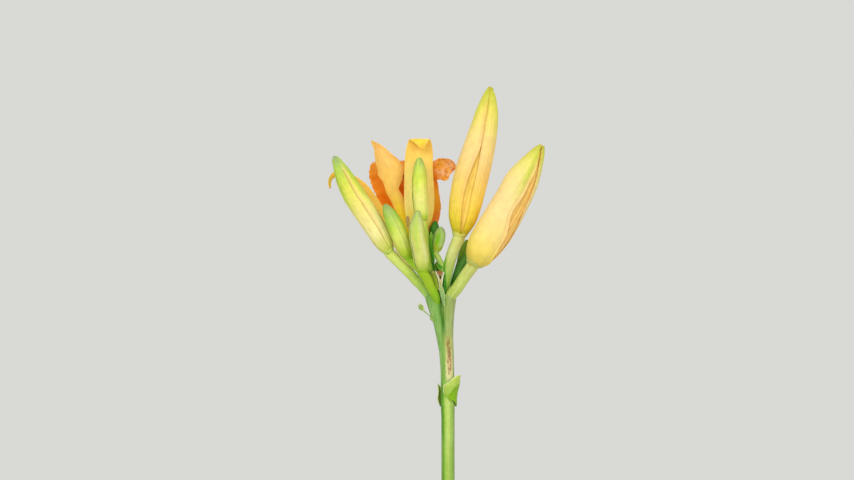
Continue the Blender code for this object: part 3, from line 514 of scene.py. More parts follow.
def stalk_bodies(root, route, radii, spindle, seam, skirt):
    """Stalk from a root sunk in the arm, through its route, into a three-lobed skirt around a bud's foot."""
    sides = 48
    top = spindle.foot - spindle.axis * 0.1
    line, tangents = route_line((root, *route, top - spindle.axis * 1.2, top), 72)
    place = np.linspace(0, 1, len(line))
    turn = np.linspace(0, 360, sides, endpoint=False)
    low, foot, high = radii
    reach = flow(((0.0, low), (0.22, foot), (0.55, (foot + high) / 2), (1.0, high)), place)
    ribs = 1 + 0.018 * np.cos(np.radians(turn) * 7) + 0.012 * np.cos(np.radians(turn) * 13 + 1)
    rings = tube_rings(line, tangents, reach[:, None] * ribs[None, :], sides)
    lobes = skirt * (0.35 + 0.65 * (1 - np.cos(np.radians(3 * (turn - seam)))) / 2)
    share = np.linspace(0.04, 1, 18)[:, None]
    climb = share * lobes[None, :] / spindle.length
    flush = spindle.reach(climb) + 0.30 - 0.42 * share ** 2
    reach = np.maximum(flush, high * (1 - 0.25 * climb * spindle.length) * (1 - share ** 3))
    upper = spindle.at(climb, np.broadcast_to(turn, climb.shape), reach)
    closing = spindle.at(climb[-1:], turn[None, :], reach[-1:] - 0.6)
    rings = np.concatenate([rings, upper, closing])
    along = np.concatenate([place * 0.9, np.linspace(0.9, 1.0, 19)])[:, None]
    return [ring_body(rings, dict(along=along, grown=grown(rings)))]


def arm_reach(turn, half_gap, left_radius, right_radius):
    """Distance from the scape's centre line to the outline of its two merged arms."""
    across, deep = np.cos(turn), np.sin(turn)
    reach = np.minimum(np.minimum(left_radius, right_radius), ARM_WAIST) + 0 * turn
    for offset, radius in ((-half_gap, left_radius), (half_gap, right_radius)):
        under_root = radius ** 2 - (offset * deep) ** 2
        arm = offset * across + np.sqrt(np.maximum(under_root, 0))
        reach = np.maximum(reach, np.where(under_root > 0, arm, 0))
    return reach


def scape_bodies():
    """Main stalk: faintly ribbed, swollen at its node, and forking into two arms with a groove between."""
    sides = 96
    turn = np.linspace(0, math.tau, sides, endpoint=False)[None, :]
    heights = np.concatenate([
        np.linspace(5.6, 232, 90), np.linspace(233, 262, 60), np.linspace(262.6, 298.4, 70)])
    stations, *columns = np.array(SCAPE_STATIONS).T
    values = np.stack([np.interp(heights, stations, column) for column in columns], axis=1)
    kernel = np.hanning(9)
    kernel /= kernel.sum()
    padded = np.vstack([values[:1]] * 4 + [values] + [values[-1:]] * 4)
    values = np.stack([np.convolve(padded[:, column], kernel, mode="valid") for column in range(4)], axis=1)
    centre, half_gap, left, right = [values[:, column][:, None] for column in range(4)]
    reach = arm_reach(turn, half_gap, left, right)
    azimuth = np.degrees(turn) + 90                        # turn 0 is to the right, azimuth 0 the front
    front = ((azimuth + 180) % 360) - 180
    level = heights[:, None]
    ribs = 0.05 * np.cos(9 * turn) + 0.035 * np.cos(14 * turn + 1.3) + 0.02 * np.cos(23 * turn + level / 60)
    reach += ribs * ease(5, 12, level)
    node_crease = np.exp(-((level - 240.6) / 0.5) ** 2)
    node_swelling = np.exp(-((level - 242.5) / 1.2) ** 2)
    reach += 0.1 * node_swelling - 0.12 * node_crease
    rough = np.sin(azimuth * 0.31 + level * 1.9) * np.sin(azimuth * 0.13 - level * 2.7)
    reach += scar_mask(front, level) * (0.10 * rough - 0.06)
    points = np.stack([centre + reach * np.cos(turn), reach * np.sin(turn),
                       np.broadcast_to(level, reach.shape)], axis=-1)
    crown = []
    for share, rise in ((0.93, 0.5), (0.80, 1.0), (0.55, 1.4), (0.2, 1.6)):
        middle = points[-1].mean(0)
        ring = middle + (points[-1] - middle) * share
        ring[:, 2] = heights[-1] + rise
        crown.append(ring)
    rings = np.concatenate([points, np.array(crown)])
    marks = dict(front=np.broadcast_to(front, (len(rings), sides)) / 180, height=rings[..., 2])
    return [ring_body(rings, marks)]


def scar_mask(front, height):
    """1 where the scape's old wound shows, 0 elsewhere."""
    centre = 30 - SCAR_SLANT * (SCAR_TOP - height)
    half_width = flow(((258, 34), (262, 30), (270, 24), (276, 10), (279, 4)), height)
    within = ease(half_width + 9, half_width - 3, np.abs(front - centre))
    return within * ease(257, 261, height) * ease(280, 276, height)


# Blades

def blade_bodies(route, across, widths, cup, ruffle, ruffles, rows=110, columns=45, thickness=0.7,
                 sunk=2.5, midrib=0.35):
    """Sepal or petal: a thin curved blade with a keeled midrib, fine pleats and ruffled margins."""
    line, tangents = route_line(route, rows)
    upright = np.array([0.0, 0.0, 1.0])
    tangents[0] = upright
    turning = np.linspace(0.3, 1, 5)[:, None]
    tangents[1:6] = unit(tangents[1:6] * turning + upright * np.linspace(0.7, 0, 5)[:, None])
    along = np.linspace(0, 1, rows)
    greatest = max(width for _, width in widths)
    wide = flow(across, along) if isinstance(across[0], tuple) else np.broadcast_to(across, line.shape)
    inward = unit(np.cross(tangents, wide))
    sideways = unit(np.cross(inward, tangents))
    fullness = np.maximum(flow(widths, along), 0.3) / greatest
    share = np.sin(np.linspace(-math.pi / 2, math.pi / 2, columns))
    share = (0.45 * share + 0.55 * np.linspace(-1, 1, columns))[None, :]
    a, f, out = along[:, None], fullness[:, None], np.abs(share)
    phase = math.tau * ruffles * a
    wave = ruffle * f * out ** 3 * np.sin(phase + share)
    wave += 0.45 * ruffle * f * out ** 6 * np.sin(2.7 * phase + 2.1 * share + 0.7)
    wave += 0.22 * ruffle * f * out ** 9 * np.sin(6.1 * phase + 4 * share)
    cups = flow(cup, along)
    lift = np.where(share < 0, cups[:, :1], cups[:, 1:]) * f ** 1.5 * share ** 2 + wave
    half = f * greatest / 2
    distance = share * half
    calm = ease(1.0, 0.85, a) * ease(0.0, 0.1, a)
    pleats = PLEAT_DEPTH * np.cos(math.tau * 6.5 * share + 3 * np.sin(2.2 * a)) * (1 - out ** 4) * calm
    pleats *= np.clip(2 * f - 0.3, 0, 1)
    rib = midrib * np.exp(-(distance / 0.55) ** 2) * ease(1.0, 0.7, a)
    frill = 1 + 0.012 * ruffle * np.sin(5.3 * phase + 2) * out ** 5
    middle = line[:, None] + sideways[:, None] * (distance * frill)[..., None]
    middle += inward[:, None] * (lift + pleats - rib)[..., None]
    thick = MARGIN_THICKNESS + (thickness - MARGIN_THICKNESS) * (1 - share ** 2) ** 0.8
    half_thick = inward[:, None] * (thick / 2 * np.clip(f * 2, 0.3, 1))[..., None]
    upper, lower = middle + half_thick, middle - half_thick
    for face in (upper, lower):
        face[..., 2] -= sunk * (1 - ease(0.0, 0.06, a))
    marks = dict(along=a, across=share, edge=half - np.abs(distance), inner=(1.0, 0.0))
    return [leaf_body(upper, lower, marks)]


def thread_body(outward, height, ring_radius, spread, foot_radius, taper, rows):
    """Thread of a stamen or the pistil, made of the first rows of 40, with its end and its way there."""
    foot = np.array(THROAT) + outward * ring_radius
    lean = outward * spread + np.array(STAMEN_LEAN) * height
    route = [foot + np.array([0, 0, height * share]) + lean * share ** 2 for share in (0.0, 0.5, 1.0)]
    line, tangents = [values[:rows] for values in route_line(route, 40)]
    place = np.linspace(0, 1, 40)[:rows]
    rings = tube_rings(line, tangents, foot_radius - taper * place, 12)
    return ring_body(rings, dict(along=place[:, None], inner=0.0)), line[-1], tangents[-1]


def stamen_bodies(angle, height):
    """Filament with a two-lobed anther."""
    outward = np.array([math.cos(angle), math.sin(angle), 0.0])
    filament, end, way = thread_body(outward, height, STAMEN_RING, STAMEN_SPREAD, 0.5, 0.26, 37)
    bodies = [filament]
    across = unit(np.cross(way, (0.0, 0.0, 1.0)) + outward * 0.01)
    axis = unit(way + outward * 0.25)
    half_length, lobe_radius, curl = 2.5, 0.48, 0.25
    angles = np.linspace(0.1, math.pi - 0.1, 22)
    t, radii = -np.cos(angles), np.sin(angles) ** 0.6 * lobe_radius
    for side in (-1, 1):
        centre = end + across * side * 0.42 + np.outer(t * half_length, axis)
        centre -= np.outer(curl * t ** 2, outward)
        rings = tube_rings(centre, np.broadcast_to(axis, centre.shape), radii, 12)
        bodies.append(ring_body(rings, dict(along=1.0, inner=1.0)))
    return bodies


def pistil_bodies():
    """Style with its small three-lobed stigma."""
    style, end, way = thread_body(np.array([1.0, 0.0, 0.0]), PISTIL_HEIGHT, 0.0, 0.0, 0.62, 0.2, 40)
    lobes = [knob(end + 0.28 * np.array([math.cos(turn), math.sin(turn), 0.0]), way, 0.5, 0.42,
                  dict(along=1.0, inner=1.0)) for turn in (0.4, 2.5, 4.6)]
    return [style, *lobes]


# Materials

def linear(colour):
    """Linear RGBA of an sRGB hex colour."""
    channels = [int(colour[place:place + 2], 16) / 255 for place in (1, 3, 5)]
    return (*[c / 12.92 if c <= 0.04045 else ((c + 0.055) / 1.055) ** 2.4 for c in channels], 1.0)


def add(tree, kind, *values, links=None, stops=(), **settings):
    """Add a node with its settings: values fill its first inputs and links the named ones, each a number, an
    sRGB hex colour, a socket or a node, of which the first output in use is taken; stops make up a ramp."""
    node = tree.nodes.new("ShaderNode" + kind)
    for key, value in settings.items():
        setattr(node, key, value)
    for key, value in {**dict(enumerate(values)), **(links or {})}.items():
        if isinstance(value, bpy.types.Node):
            value = next(socket for socket in value.outputs if socket.enabled)
        if isinstance(value, bpy.types.NodeSocket):
            tree.links.new(value, node.inputs[key])
        else:
            node.inputs[key].default_value = linear(value) if isinstance(value, str) else value
    for place, (position, colour) in enumerate(stops):
        elements = node.color_ramp.elements
        element = elements[place] if place < 2 else elements.new(position)
        element.position = position
        element.color = linear(colour)
    return node


def new_material(name, *marks):
    """Empty material: itself, its tree, and the mesh's marks that it reads. A mark that a mesh lacks is 0."""
    material = bpy.data.materials.new(name)
    material.use_nodes = True
    tree = material.node_tree
    tree.nodes.clear()
    return material, tree, *[add(tree, "Attribute", attribute_name=mark).outputs["Fac"] for mark in marks]


def speckle(tree, size, detail=2.0, stretch=(1.0, 1.0, 1.0), place=None):
    """Noise from 0 to 1 in patches of a real size in millimetres, stretched along Z where asked."""
    if place is None:
        place = add(tree, "TexCoord").outputs["Object"]
    place = add(tree, "Mapping", place, links={"Scale": stretch})
    return add(tree, "TexNoise", links={"Vector": place, "Scale": 1 / (size * MM), "Detail": detail})


def wandering(tree, value, reach, size):
    """A value that wanders by up to reach either way, in patches of a size in millimetres."""
    lowest = add(tree, "Math", value, reach, operation='SUBTRACT')
    return add(tree, "Math", speckle(tree, size), 2 * reach, lowest, operation='MULTIPLY_ADD')


def zone(tree, *bands):
    """Mask that is 1 where every band holds: a value, where it starts to show and where it shows fully."""
    mask = None
    for value, none, full in bands:
        band = add(tree, "MapRange", value, none, full, interpolation_type='SMOOTHSTEP')
        mask = band if mask is None else add(tree, "Math", mask, band, operation='MULTIPLY')
    return mask


def coats(tree, ground, *layers):
    """Colours laid over a ground one after another, each by its mask and its share."""
    for mask, share, colour in layers:
        amount = add(tree, "Math", mask, share, operation='MULTIPLY')
        ground = add(tree, "Mix", amount, links={6: ground, 7: colour}, data_type='RGBA')
    return ground


def veins(tree, across, count):
    """Lengthwise veins, so many to each half of a leaf, that wander a little and fade in and out."""
    drift = add(tree, "Math", speckle(tree, 9.0), 2.4, operation='MULTIPLY')
    phase = add(tree, "Math", across, math.tau * count, drift, operation='MULTIPLY_ADD')
    line = zone(tree, (add(tree, "Math", phase, operation='SINE'), 0.2, 1.0))
    fading = add(tree, "MapRange", speckle(tree, 5.0), 0.35, 0.65, 0.25, 1.0)
    return add(tree, "Math", line, fading, operation='MULTIPLY')


def finish_tissue(tree, colour, lines, ridge, depth, rough=(0.40, 0.52), glow=0.12):
    """Living plant tissue: a skin with a matt bloom of wax over wet cells that let a little light through.
    Its colour varies in small patches, and its veins stand up or lie in by ridge times the depth."""
    mottle = add(tree, "MapRange", speckle(tree, 2.8, 4.0), 0.3, 0.7, 0.94, 1.05)
    colour = add(tree, "Mix", 1.0, links={6: colour, 7: mottle}, data_type='RGBA', blend_type='MULTIPLY')
    wax = add(tree, "MapRange", speckle(tree, 2.5), 0.3, 0.7, *rough)
    cells = add(tree, "Math", speckle(tree, 0.5), 0.5, operation='MULTIPLY')
    relief = add(tree, "Math", lines, ridge, cells, operation='MULTIPLY_ADD')
    raised = add(tree, "Bump", links={"Height": relief, "Distance": depth * MM, "Strength": 0.6})
    shader = add(tree, "BsdfPrincipled", links={
        "Base Color": colour, "Roughness": wax, "Normal": raised, "IOR": 1.42, "Specular IOR Level": 0.3,
        "Subsurface Weight": glow, "Subsurface Radius": (1.0, 0.7, 0.25), "Subsurface Scale": 1.2 * MM})
    add(tree, "OutputMaterial", shader)


def bud_skin(name, stops, rib, rib_from, vein, petal, fold, line, blush, left_blush, right_blush,
             count=9, line_to=1.2):
    """Sepal skin of a closed bud: thin waxy tissue that ripens from green to yellow from its margins in, so
    its tip and its midrib stay green longest. A margin may blush, and ends in a thin darker line that is
    partly its own colour and partly painted shade of the gap at the seam. Where the sepals part, the petals
    folded inside show."""
    material, tree, along, edge, side, across, inner, off_rib = new_material(
        name, "along", "edge", "side", "across", "inner", "rib")
    place = wandering(tree, along, 0.06, 16.0)
    lines = veins(tree, across, count)
    near_edge = ((edge, 3.2, 0.6), (along, 0.10, 0.30), (along, 0.96, 0.80))
    colour = coats(
        tree, add(tree, "ValToRGB", place, stops=stops),
        (zone(tree, (off_rib, 0.40, 0.0), (place, rib_from, rib_from + 0.25)), 0.85, rib),
        (zone(tree, *near_edge, (side, 1.0, -1.0)), left_blush, blush),
        (zone(tree, *near_edge, (side, -1.0, 1.0)), right_blush, blush),
        (lines, 0.32, vein),
        # The thin darker line at each margin is partly the margin's own colour and partly painted shade of
        # the gap at the seam.
        (zone(tree, (edge, 0.42, 0.12), (along, 0.02, 0.10), (along, line_to, line_to - 0.1)), 0.75, line))
    folds = zone(tree, (add(tree, "Math", across, operation='SINE'), -0.3, 0.9))
    colour = coats(tree, colour, (inner, 1.0, coats(tree, petal, (folds, 0.8, fold))))
    finish_tissue(tree, colour, lines, -0.6, 0.12)
    return material


def petal_skin(name, outer, inner_stops, margin, margin_share, vein, vein_share=0.3, pale=0.0):
    """Skin of an open sepal or petal: velvety tissue with lengthwise veins, yellow in the throat and deeper
    orange outwards, its inner face stronger in colour than its outer one. Where it rolls back it may carry
    pale patches, partly translucency and partly painted highlight, and brown patches of painted shade."""
    material, tree, along, edge, across, inner = new_material(name, "along", "edge", "across", "inner")
    place = wandering(tree, along, 0.08, 12.0)
    lines = veins(tree, across, 7)
    colour = coats(
        tree, add(tree, "ValToRGB", place, stops=outer),
        (inner, 1.0, add(tree, "ValToRGB", place, stops=inner_stops)),
        # Pale patches where the blade rolls back are partly translucency and partly painted highlight; the
        # brown patches are painted shade in the curl's hollow.
        (zone(tree, (speckle(tree, 3.0, 3.0), 0.42, 0.62), (along, 0.74, 0.84)), pale, "#fbd0a0"),
        (zone(tree, (speckle(tree, 1.9, 3.0), 0.50, 0.66), (along, 0.78, 0.84)), pale, "#c4600c"),
        (zone(tree, (edge, 3.2, 0.2), (along, 0.15, 0.45)), margin_share, margin),
        (lines, vein_share, vein))
    finish_tissue(tree, colour, lines, -0.8, 0.16, rough=(0.45, 0.6), glow=0.5)
    return material


def stalk_skin(name, stops, streak):
    """Stalk epidermis: smooth and waxy, with fine strands that run its length and pale flecks."""
    material, tree, along = new_material(name, "along")
    straightened = add(tree, "Attribute", attribute_name="grown").outputs["Vector"]
    strands = zone(tree, (speckle(tree, 0.9, 3.0, (1, 1, 0.10), straightened), 0.45, 0.68))
    colour = coats(tree, add(tree, "ValToRGB", wandering(tree, along, 0.08, 6.0), stops=stops),
                   (strands, 0.45, streak))
    finish_tissue(tree, colour, strands, 0.6, 0.1)
    return material


def scape_skin():
    """Scape epidermis: ribbed and waxy, with a bluish bloom on the arms and a cream and brown corky scar
    where an old wound has healed. Painted light runs round it: a painted highlight down its front, painted
    shade on its left flank, and painted shade in the groove of the fork."""
    material, tree, height, front = new_material("scape_waxy_epidermis", "height", "front")
    around = add(tree, "Math", wandering(tree, front, 0.03, 7.0), 0.5, 0.5, operation='MULTIPLY_ADD')
    # Both ramps round the scape, below the fork and on its arms, are palest at the front and darker towards
    # the flanks, darkest at the left: painted highlight and painted shade over the stem's own green.
    low = add(tree, "ValToRGB", around, stops=(
        (0.0, "#86a54c"), (0.22, "#6c9230"), (0.32, "#588c1c"), (0.385, "#62991e"), (0.425, "#98c34c"),
        (0.465, "#b0ca5c"), (0.50, "#bcd466"), (0.55, "#a7c35a"), (0.62, "#8bb04a"), (0.75, "#84994e"),
        (1.0, "#86a54c")))
    arms = add(tree, "ValToRGB", around, stops=(
        (0.0, "#7ba24c"), (0.25, "#78a250"), (0.40, "#76a848"), (0.455, "#82aa4c"), (0.50, "#98b058"),
        (0.57, "#a0b060"), (0.66, "#93a45c"), (0.75, "#8e9c60"), (1.0, "#7ba24c")))
    ragged = wandering(tree, front, 0.06, 2.4)
    pale = zone(tree, (speckle(tree, 1.1, 3.0, (1, 1, 0.05)), 0.45, 0.68))
    off_fork = add(tree, "Math", add(tree, "Math", front, 0.01), operation='ABSOLUTE')
    off_saddle = add(tree, "Math", add(tree, "Math", front, -0.04), operation='ABSOLUTE')
    # Painted shade: the groove between the arms is coloured dark green where shade falls in it.
    groove = zone(tree, (off_fork, 0.20, 0.05), (height, 270.0, 284.0))
    saddle = zone(tree, (off_saddle, 0.22, 0.08), (height, 270.0, 277.0), (height, 284.0, 279.0))
    flank = zone(tree, (ragged, -0.10, 0.10), (ragged, 0.34, 0.14), (height, 280.0, 288.0))
    forked, lower, wet = [zone(tree, (height, none, full))
                          for none, full in ((248.0, 258.0), (228.0, 206.0), (97.0, 90.0))]
    centre = add(tree, "Math", height, SCAR_SLANT / 180, (26 - SCAR_SLANT * SCAR_TOP) / 180,
                 operation='MULTIPLY_ADD')
    off = add(tree, "Math", add(tree, "Math", ragged, centre, operation='SUBTRACT'), operation='ABSOLUTE')
    callus = zone(tree, (off, 0.25, 0.14), (height, 254.0, 258.0), (height, 281.0, 275.0))
    cream = zone(tree, (off, 0.22, 0.12), (height, 254.0, 257.0), (height, 274.0, 262.0))
    tan = zone(tree, (off, 0.15, 0.06), (height, 257.0, 260.0), (height, 272.0, 267.0))
    cork = zone(tree, (speckle(tree, 1.5, 3.0, (1, 1, 0.6)), 0.44, 0.56), (off, 0.14, 0.05),
                (height, 257.0, 259.0), (height, 279.0, 276.0))
    colour = coats(
        tree, low, (forked, 1.0, arms), (flank, 0.6, "#6c981c"), (saddle, 0.7, "#80982a"),
        (groove, 0.9, "#3c780c"), (pale, 0.35, "#bccf88"), (lower, 0.4, "#78a434"), (wet, 0.35, "#5d7d22"),
        (callus, 0.85, "#b4b664"), (cream, 0.9, "#dcdc9c"), (tan, 0.75, "#c9a070"), (cork, 0.85, "#8c6a34"))
    relief = add(tree, "Math", cork, -1.5, add(tree, "Math", pale, 0.5, operation='MULTIPLY'),
                 operation='MULTIPLY_ADD')
    finish_tissue(tree, colour, relief, 1.0, 0.14)
    return material


def bract_skin(name, body, margin, margin_from, vein, shade_below_crease=None, count=5):
    """Bract tissue: a thin leaf that dries to a pale papery margin. Past a crease it may be coloured darker,
    as painted shade on the part that turns back.
    """
    material, tree, along, edge, across, below = new_material(name, "along", "edge", "across", "below")
    lines = veins(tree, across, count)
    colour = coats(tree, add(tree, "ValToRGB", wandering(tree, along, 0.12, 4.0), stops=body),
                   (below, 1.0 if shade_below_crease else 0.0, shade_below_crease or margin),
                   (zone(tree, (edge, margin_from, 0.1)), 1.0, margin),
                   (lines, 0.3, vein))
    finish_tissue(tree, colour, lines, 0.7, 0.1, rough=(0.45, 0.6), glow=0.2)
    return material


def stamen_skin(name, stops, tip):
    """Stamen or style: a translucent thread, with rough dusty pollen or a sticky knob at its end."""
    material, tree, along, inner = new_material(name, "along", "inner")
    grains = zone(tree, (speckle(tree, 0.35), 0.4, 0.62))
    colour = coats(tree, add(tree, "ValToRGB", along, stops=stops),
                   (inner, 1.0, coats(tree, tip[0], (grains, 1.0, tip[1]))))
    finish_tissue(tree, colour, grains, 1.0, 0.1, rough=(0.5, 0.7))
    return material


def clear_body(name, tint, ior, waviness, depth, shadow_tint, thick_rim=False):
    """Clear body with a smooth surface and slow waves. Shadow rays, and rays mirrored inside a thick rim,
    pass it straight with a slight tint, so that what is inside stays lit and the rim stays bright."""
    material, tree = new_material(name)
    waves = add(tree, "Bump", links={
        "Height": speckle(tree, waviness, 1.0), "Distance": depth * MM, "Strength": 0.3})
    shader = add(tree, "BsdfPrincipled", links={
        "Base Color": tint, "Roughness": 0.0, "IOR": ior, "Transmission Weight": 1.0, "Normal": waves})
    path = add(tree, "LightPath")
    passing = add(tree, "BsdfTransparent", shadow_tint)
    if thick_rim:
        shader = add(tree, "MixShader", path.outputs["Is Reflection Ray"], shader, passing)
    add(tree, "OutputMaterial", add(tree, "MixShader", path.outputs["Is Shadow Ray"], shader, passing))
    return material


def bottle_glass():
    """Soda-lime bottle glass, blown in a mould and fire-polished: clear, very faintly green, and smooth but
    for the slow waviness of a blown wall."""
    return clear_body("blown_soda_lime_glass", "#f4fbf7", 1.52, 14.0, 0.12, "#e6f2ea", thick_rim=True)


def still_water():
    """Still tap water: clear, smooth and without a tint."""
    return clear_body("still_water", "#fbfefe", 1.333, 30.0, 0.05, "#f2f8f8")


# Building

# Buds: the ramp from foot to tip; the midrib's colour and the place that it starts from; the colours of
# the veins, of the petals inside, of their folds, of the margin's line (partly painted shade of the seam)
# and of its blush; how much of the left and of the right margin blushes; the veins to each half, and how
# far up the line runs.
BUD_COLOURS = {
    "left_bud": (
        ((0, "#b0c840"), (0.05, "#ccd45c"), (0.12, "#e6e080"), (0.22, "#f6eb9e"), (0.42, "#f8e88c"),
         (0.52, "#f4e67c"), (0.62, "#ece664"), (0.72, "#dae14c"), (0.8, "#c4da48"), (0.88, "#acce54"),
         (0.94, "#9cbe68"), (1, "#92a87c")),
        "#b2cf48", 0.4, "#e2c864", "#ecc460", "#d8a850", "#b08c34", "#fcd68c", 0.1, 0.9, 9, 0.88),
    "tall_bud": (
        ((0, "#b8ac10"), (0.06, "#e2cc2c"), (0.16, "#f4d446"), (0.28, "#f7d45e"), (0.42, "#f8d078"),
         (0.54, "#f9d688"), (0.66, "#f8da86"), (0.77, "#f4de74"), (0.87, "#e4da58"), (0.95, "#cace44"),
         (1, "#b4bc34")),
        "#d4d650", 0.62, "#eebc6c", "#f4d060", "#ecbc50", "#d49c38", "#f2b474", 0.4, 0.1),
    "right_bud": (
        ((0, "#c4b84c"), (0.06, "#e6cc54"), (0.14, "#f7db66"), (0.28, "#fadc84"), (0.42, "#f9dc92"),
         (0.58, "#f8dc94"), (0.72, "#f5de8a"), (0.82, "#ece078"), (0.92, "#d9d856"), (1, "#bfbe44")),
        "#bccb34", 0.52, "#efc070", "#ffd074", "#f0b448", "#c08010", "#f0bc74", 0.5, 0.3),
    "centre_bud": (
        ((0, "#a8c824"), (0.06, "#c8dc48"), (0.12, "#e2e676"), (0.3, "#efeb84"), (0.5, "#edeb74"),
         (0.62, "#e0ea54"), (0.75, "#cede52"), (0.87, "#b4c960"), (1, "#9aab5c")),
        "#c4dc4c", 0.3, "#bcd044", "#d0dc60", "#b8c84c", "#b4cc44", "#e4e080", 0.2, 0.2, 6),
    "front_bud": (
        ((0, "#90b810"), (0.08, "#aec440"), (0.16, "#c4cf5a"), (0.3, "#d3d570"), (0.5, "#d4d868"),
         (0.66, "#cddb5a"), (0.8, "#b6cd58"), (0.9, "#aec264"), (1, "#a6b878")),
        "#b4cc4c", 0.2, "#e6e49c", "#98bc38", "#88ac34", "#8cb02c", "#e8e8a8", 0.6, 0.3, 6),
    "inner_left_bud": (
        ((0, "#8cb80c"), (0.08, "#a8c618"), (0.2, "#c8d34c"), (0.4, "#d8e262"), (0.52, "#cddf50"),
         (0.66, "#b4d242"), (0.78, "#9cc244"), (0.9, "#92b05c"), (1, "#8ca464")),
        "#9cc434", 0.35, "#e6ea94", "#84b428", "#74a424", "#8cb430", "#dfe48c", 0.3, 0.3, 6),
    "small_bud": (
        ((0, "#a4b030"), (0.22, "#9cb020"), (0.42, "#7cb400"), (0.72, "#7ab004"), (0.86, "#849c4c"),
         (1, "#b0b89c")),
        "#78b008", 0.2, "#90c030", "#5c9c10", "#548c10", "#6c9c20", "#d4e0a8", 0.5, 0.5, 4),
    # The shaded bud's and the lower back bud's dark greens are painted shade: both sit behind the others, in
    # shade.
    "shaded_bud": (
        ((0, "#3c8008"), (0.5, "#2c7808"), (1, "#3c8020")),
        "#2c7008", 0.2, "#4c9020", "#206008", "#1c5408", "#2c6808", "#54982c", 0.3, 0.3, 4),
    "upper_back_bud": (
        ((0, "#7aa820"), (0.5, "#78a418"), (1, "#6c9c28")),
        "#6c9c14", 0.2, "#98bc50", "#588c10", "#4c7c10", "#588810", "#a8c868", 0.3, 0.3, 4),
    "lower_back_bud": (
        ((0, "#3c8414"), (0.5, "#348010"), (1, "#4c9024")),
        "#2c7808", 0.2, "#90b468", "#246408", "#205808", "#246008", "#7cac50", 0.3, 0.3, 4),
}


def build_buds():
    """The ten closed buds."""
    for name, bud in BUDS.items():
        skin = bud_skin(name + "_waxy_sepal", *BUD_COLOURS[name])
        slot = "bud_skin" if bud["radius"] > LARGE else "young_bud_skin"
        make_piece(name, bud_bodies(**bud), skin, slot, name)


# Stalks: the ramp from root to top, and the colour of the pale flecks.
STALK_COLOURS = {
    "left_stalk": (((0, "#84b454"), (0.22, "#96be58"), (0.4, "#b0ca54"), (0.6, "#c2d65c"),
                    (0.8, "#ccda68"), (1, "#c4d858")), "#dce690"),
    # The tall stalk's darker green band low down, from 0.15 to 0.3, is painted shade.
    "tall_stalk": (((0, "#82a440"), (0.15, "#74a430"), (0.3, "#78a434"), (0.45, "#94b848"),
                    (0.58, "#b4c464"), (0.72, "#cbd07c"), (0.88, "#cfd070"), (1, "#c4c644")), "#e0e098"),
    "right_stalk": (((0, "#98b440"), (0.3, "#b0c654"), (0.6, "#bcc860"), (0.85, "#c0c464"),
                     (1, "#b8b84c")), "#dce094"),
    "front_stalk": (((0, "#60a008"), (0.3, "#7cb010"), (0.6, "#9cbc20"), (1, "#90b810")), "#b4c840"),
    "inner_left_stalk": (((0, "#8cb428"), (0.5, "#98c020"), (1, "#90bc10")), "#b8d450"),
    "centre_stalk": (((0, "#70a818"), (0.4, "#8cb424"), (0.7, "#b8cc44"), (0.9, "#c4d450"),
                      (1, "#a8c828")), "#d8e080"),
    "flower_stalk": (((0, "#6c9c18"), (0.5, "#90b428"), (1, "#b4c440")), "#c8d468"),
    "small_stalk": (((0, "#b0c458"), (0.5, "#9cbc58"), (0.8, "#a4bc50"), (1, "#b0c44c")), "#ccd890"),
    # The shaded stalk's and the lower back stalk's dark greens are painted shade.
    "shaded_stalk": (((0, "#3c8008"), (0.5, "#408008"), (1, "#408008")), "#60a020"),
    "upper_back_stalk": (((0, "#4c8c10"), (0.5, "#488c10"), (1, "#78a820")), "#68a428"),
    "lower_back_stalk": (((0, "#2c7008"), (0.5, "#2c7008"), (1, "#388010")), "#4c9020"),
}


def build_stalks():
    """The stalks, each ending in the skirt that holds what it carries."""
    for name, (root, route, radii) in STALKS.items():
        if name == "flower_stalk":
            spindle = Spindle(TUBE_ROUTE[0], TUBE_ROUTE[1], 2.5, ((0.0, 1.0), (1.0, 1.25)), STRAIGHT)
            seam, skirt = 0.0, 0.6
        else:
            bud = BUDS[name.replace("_stalk", "_bud")]
            spindle = Spindle(*[bud[key] for key in ("foot", "tip", "radius", "outline", "sway")])
            seam = bud["seam"]
            skirt = 3.4 if bud["radius"] > LARGE else 1.0
        skin = stalk_skin(name + "_waxy_epidermis", *STALK_COLOURS[name])
        make_piece(name, stalk_bodies(root, route, radii, spindle, seam, skirt), skin, "stalk_skin", name)
    make_piece("scape", scape_bodies(), scape_skin(), "scape_skin", "scape")
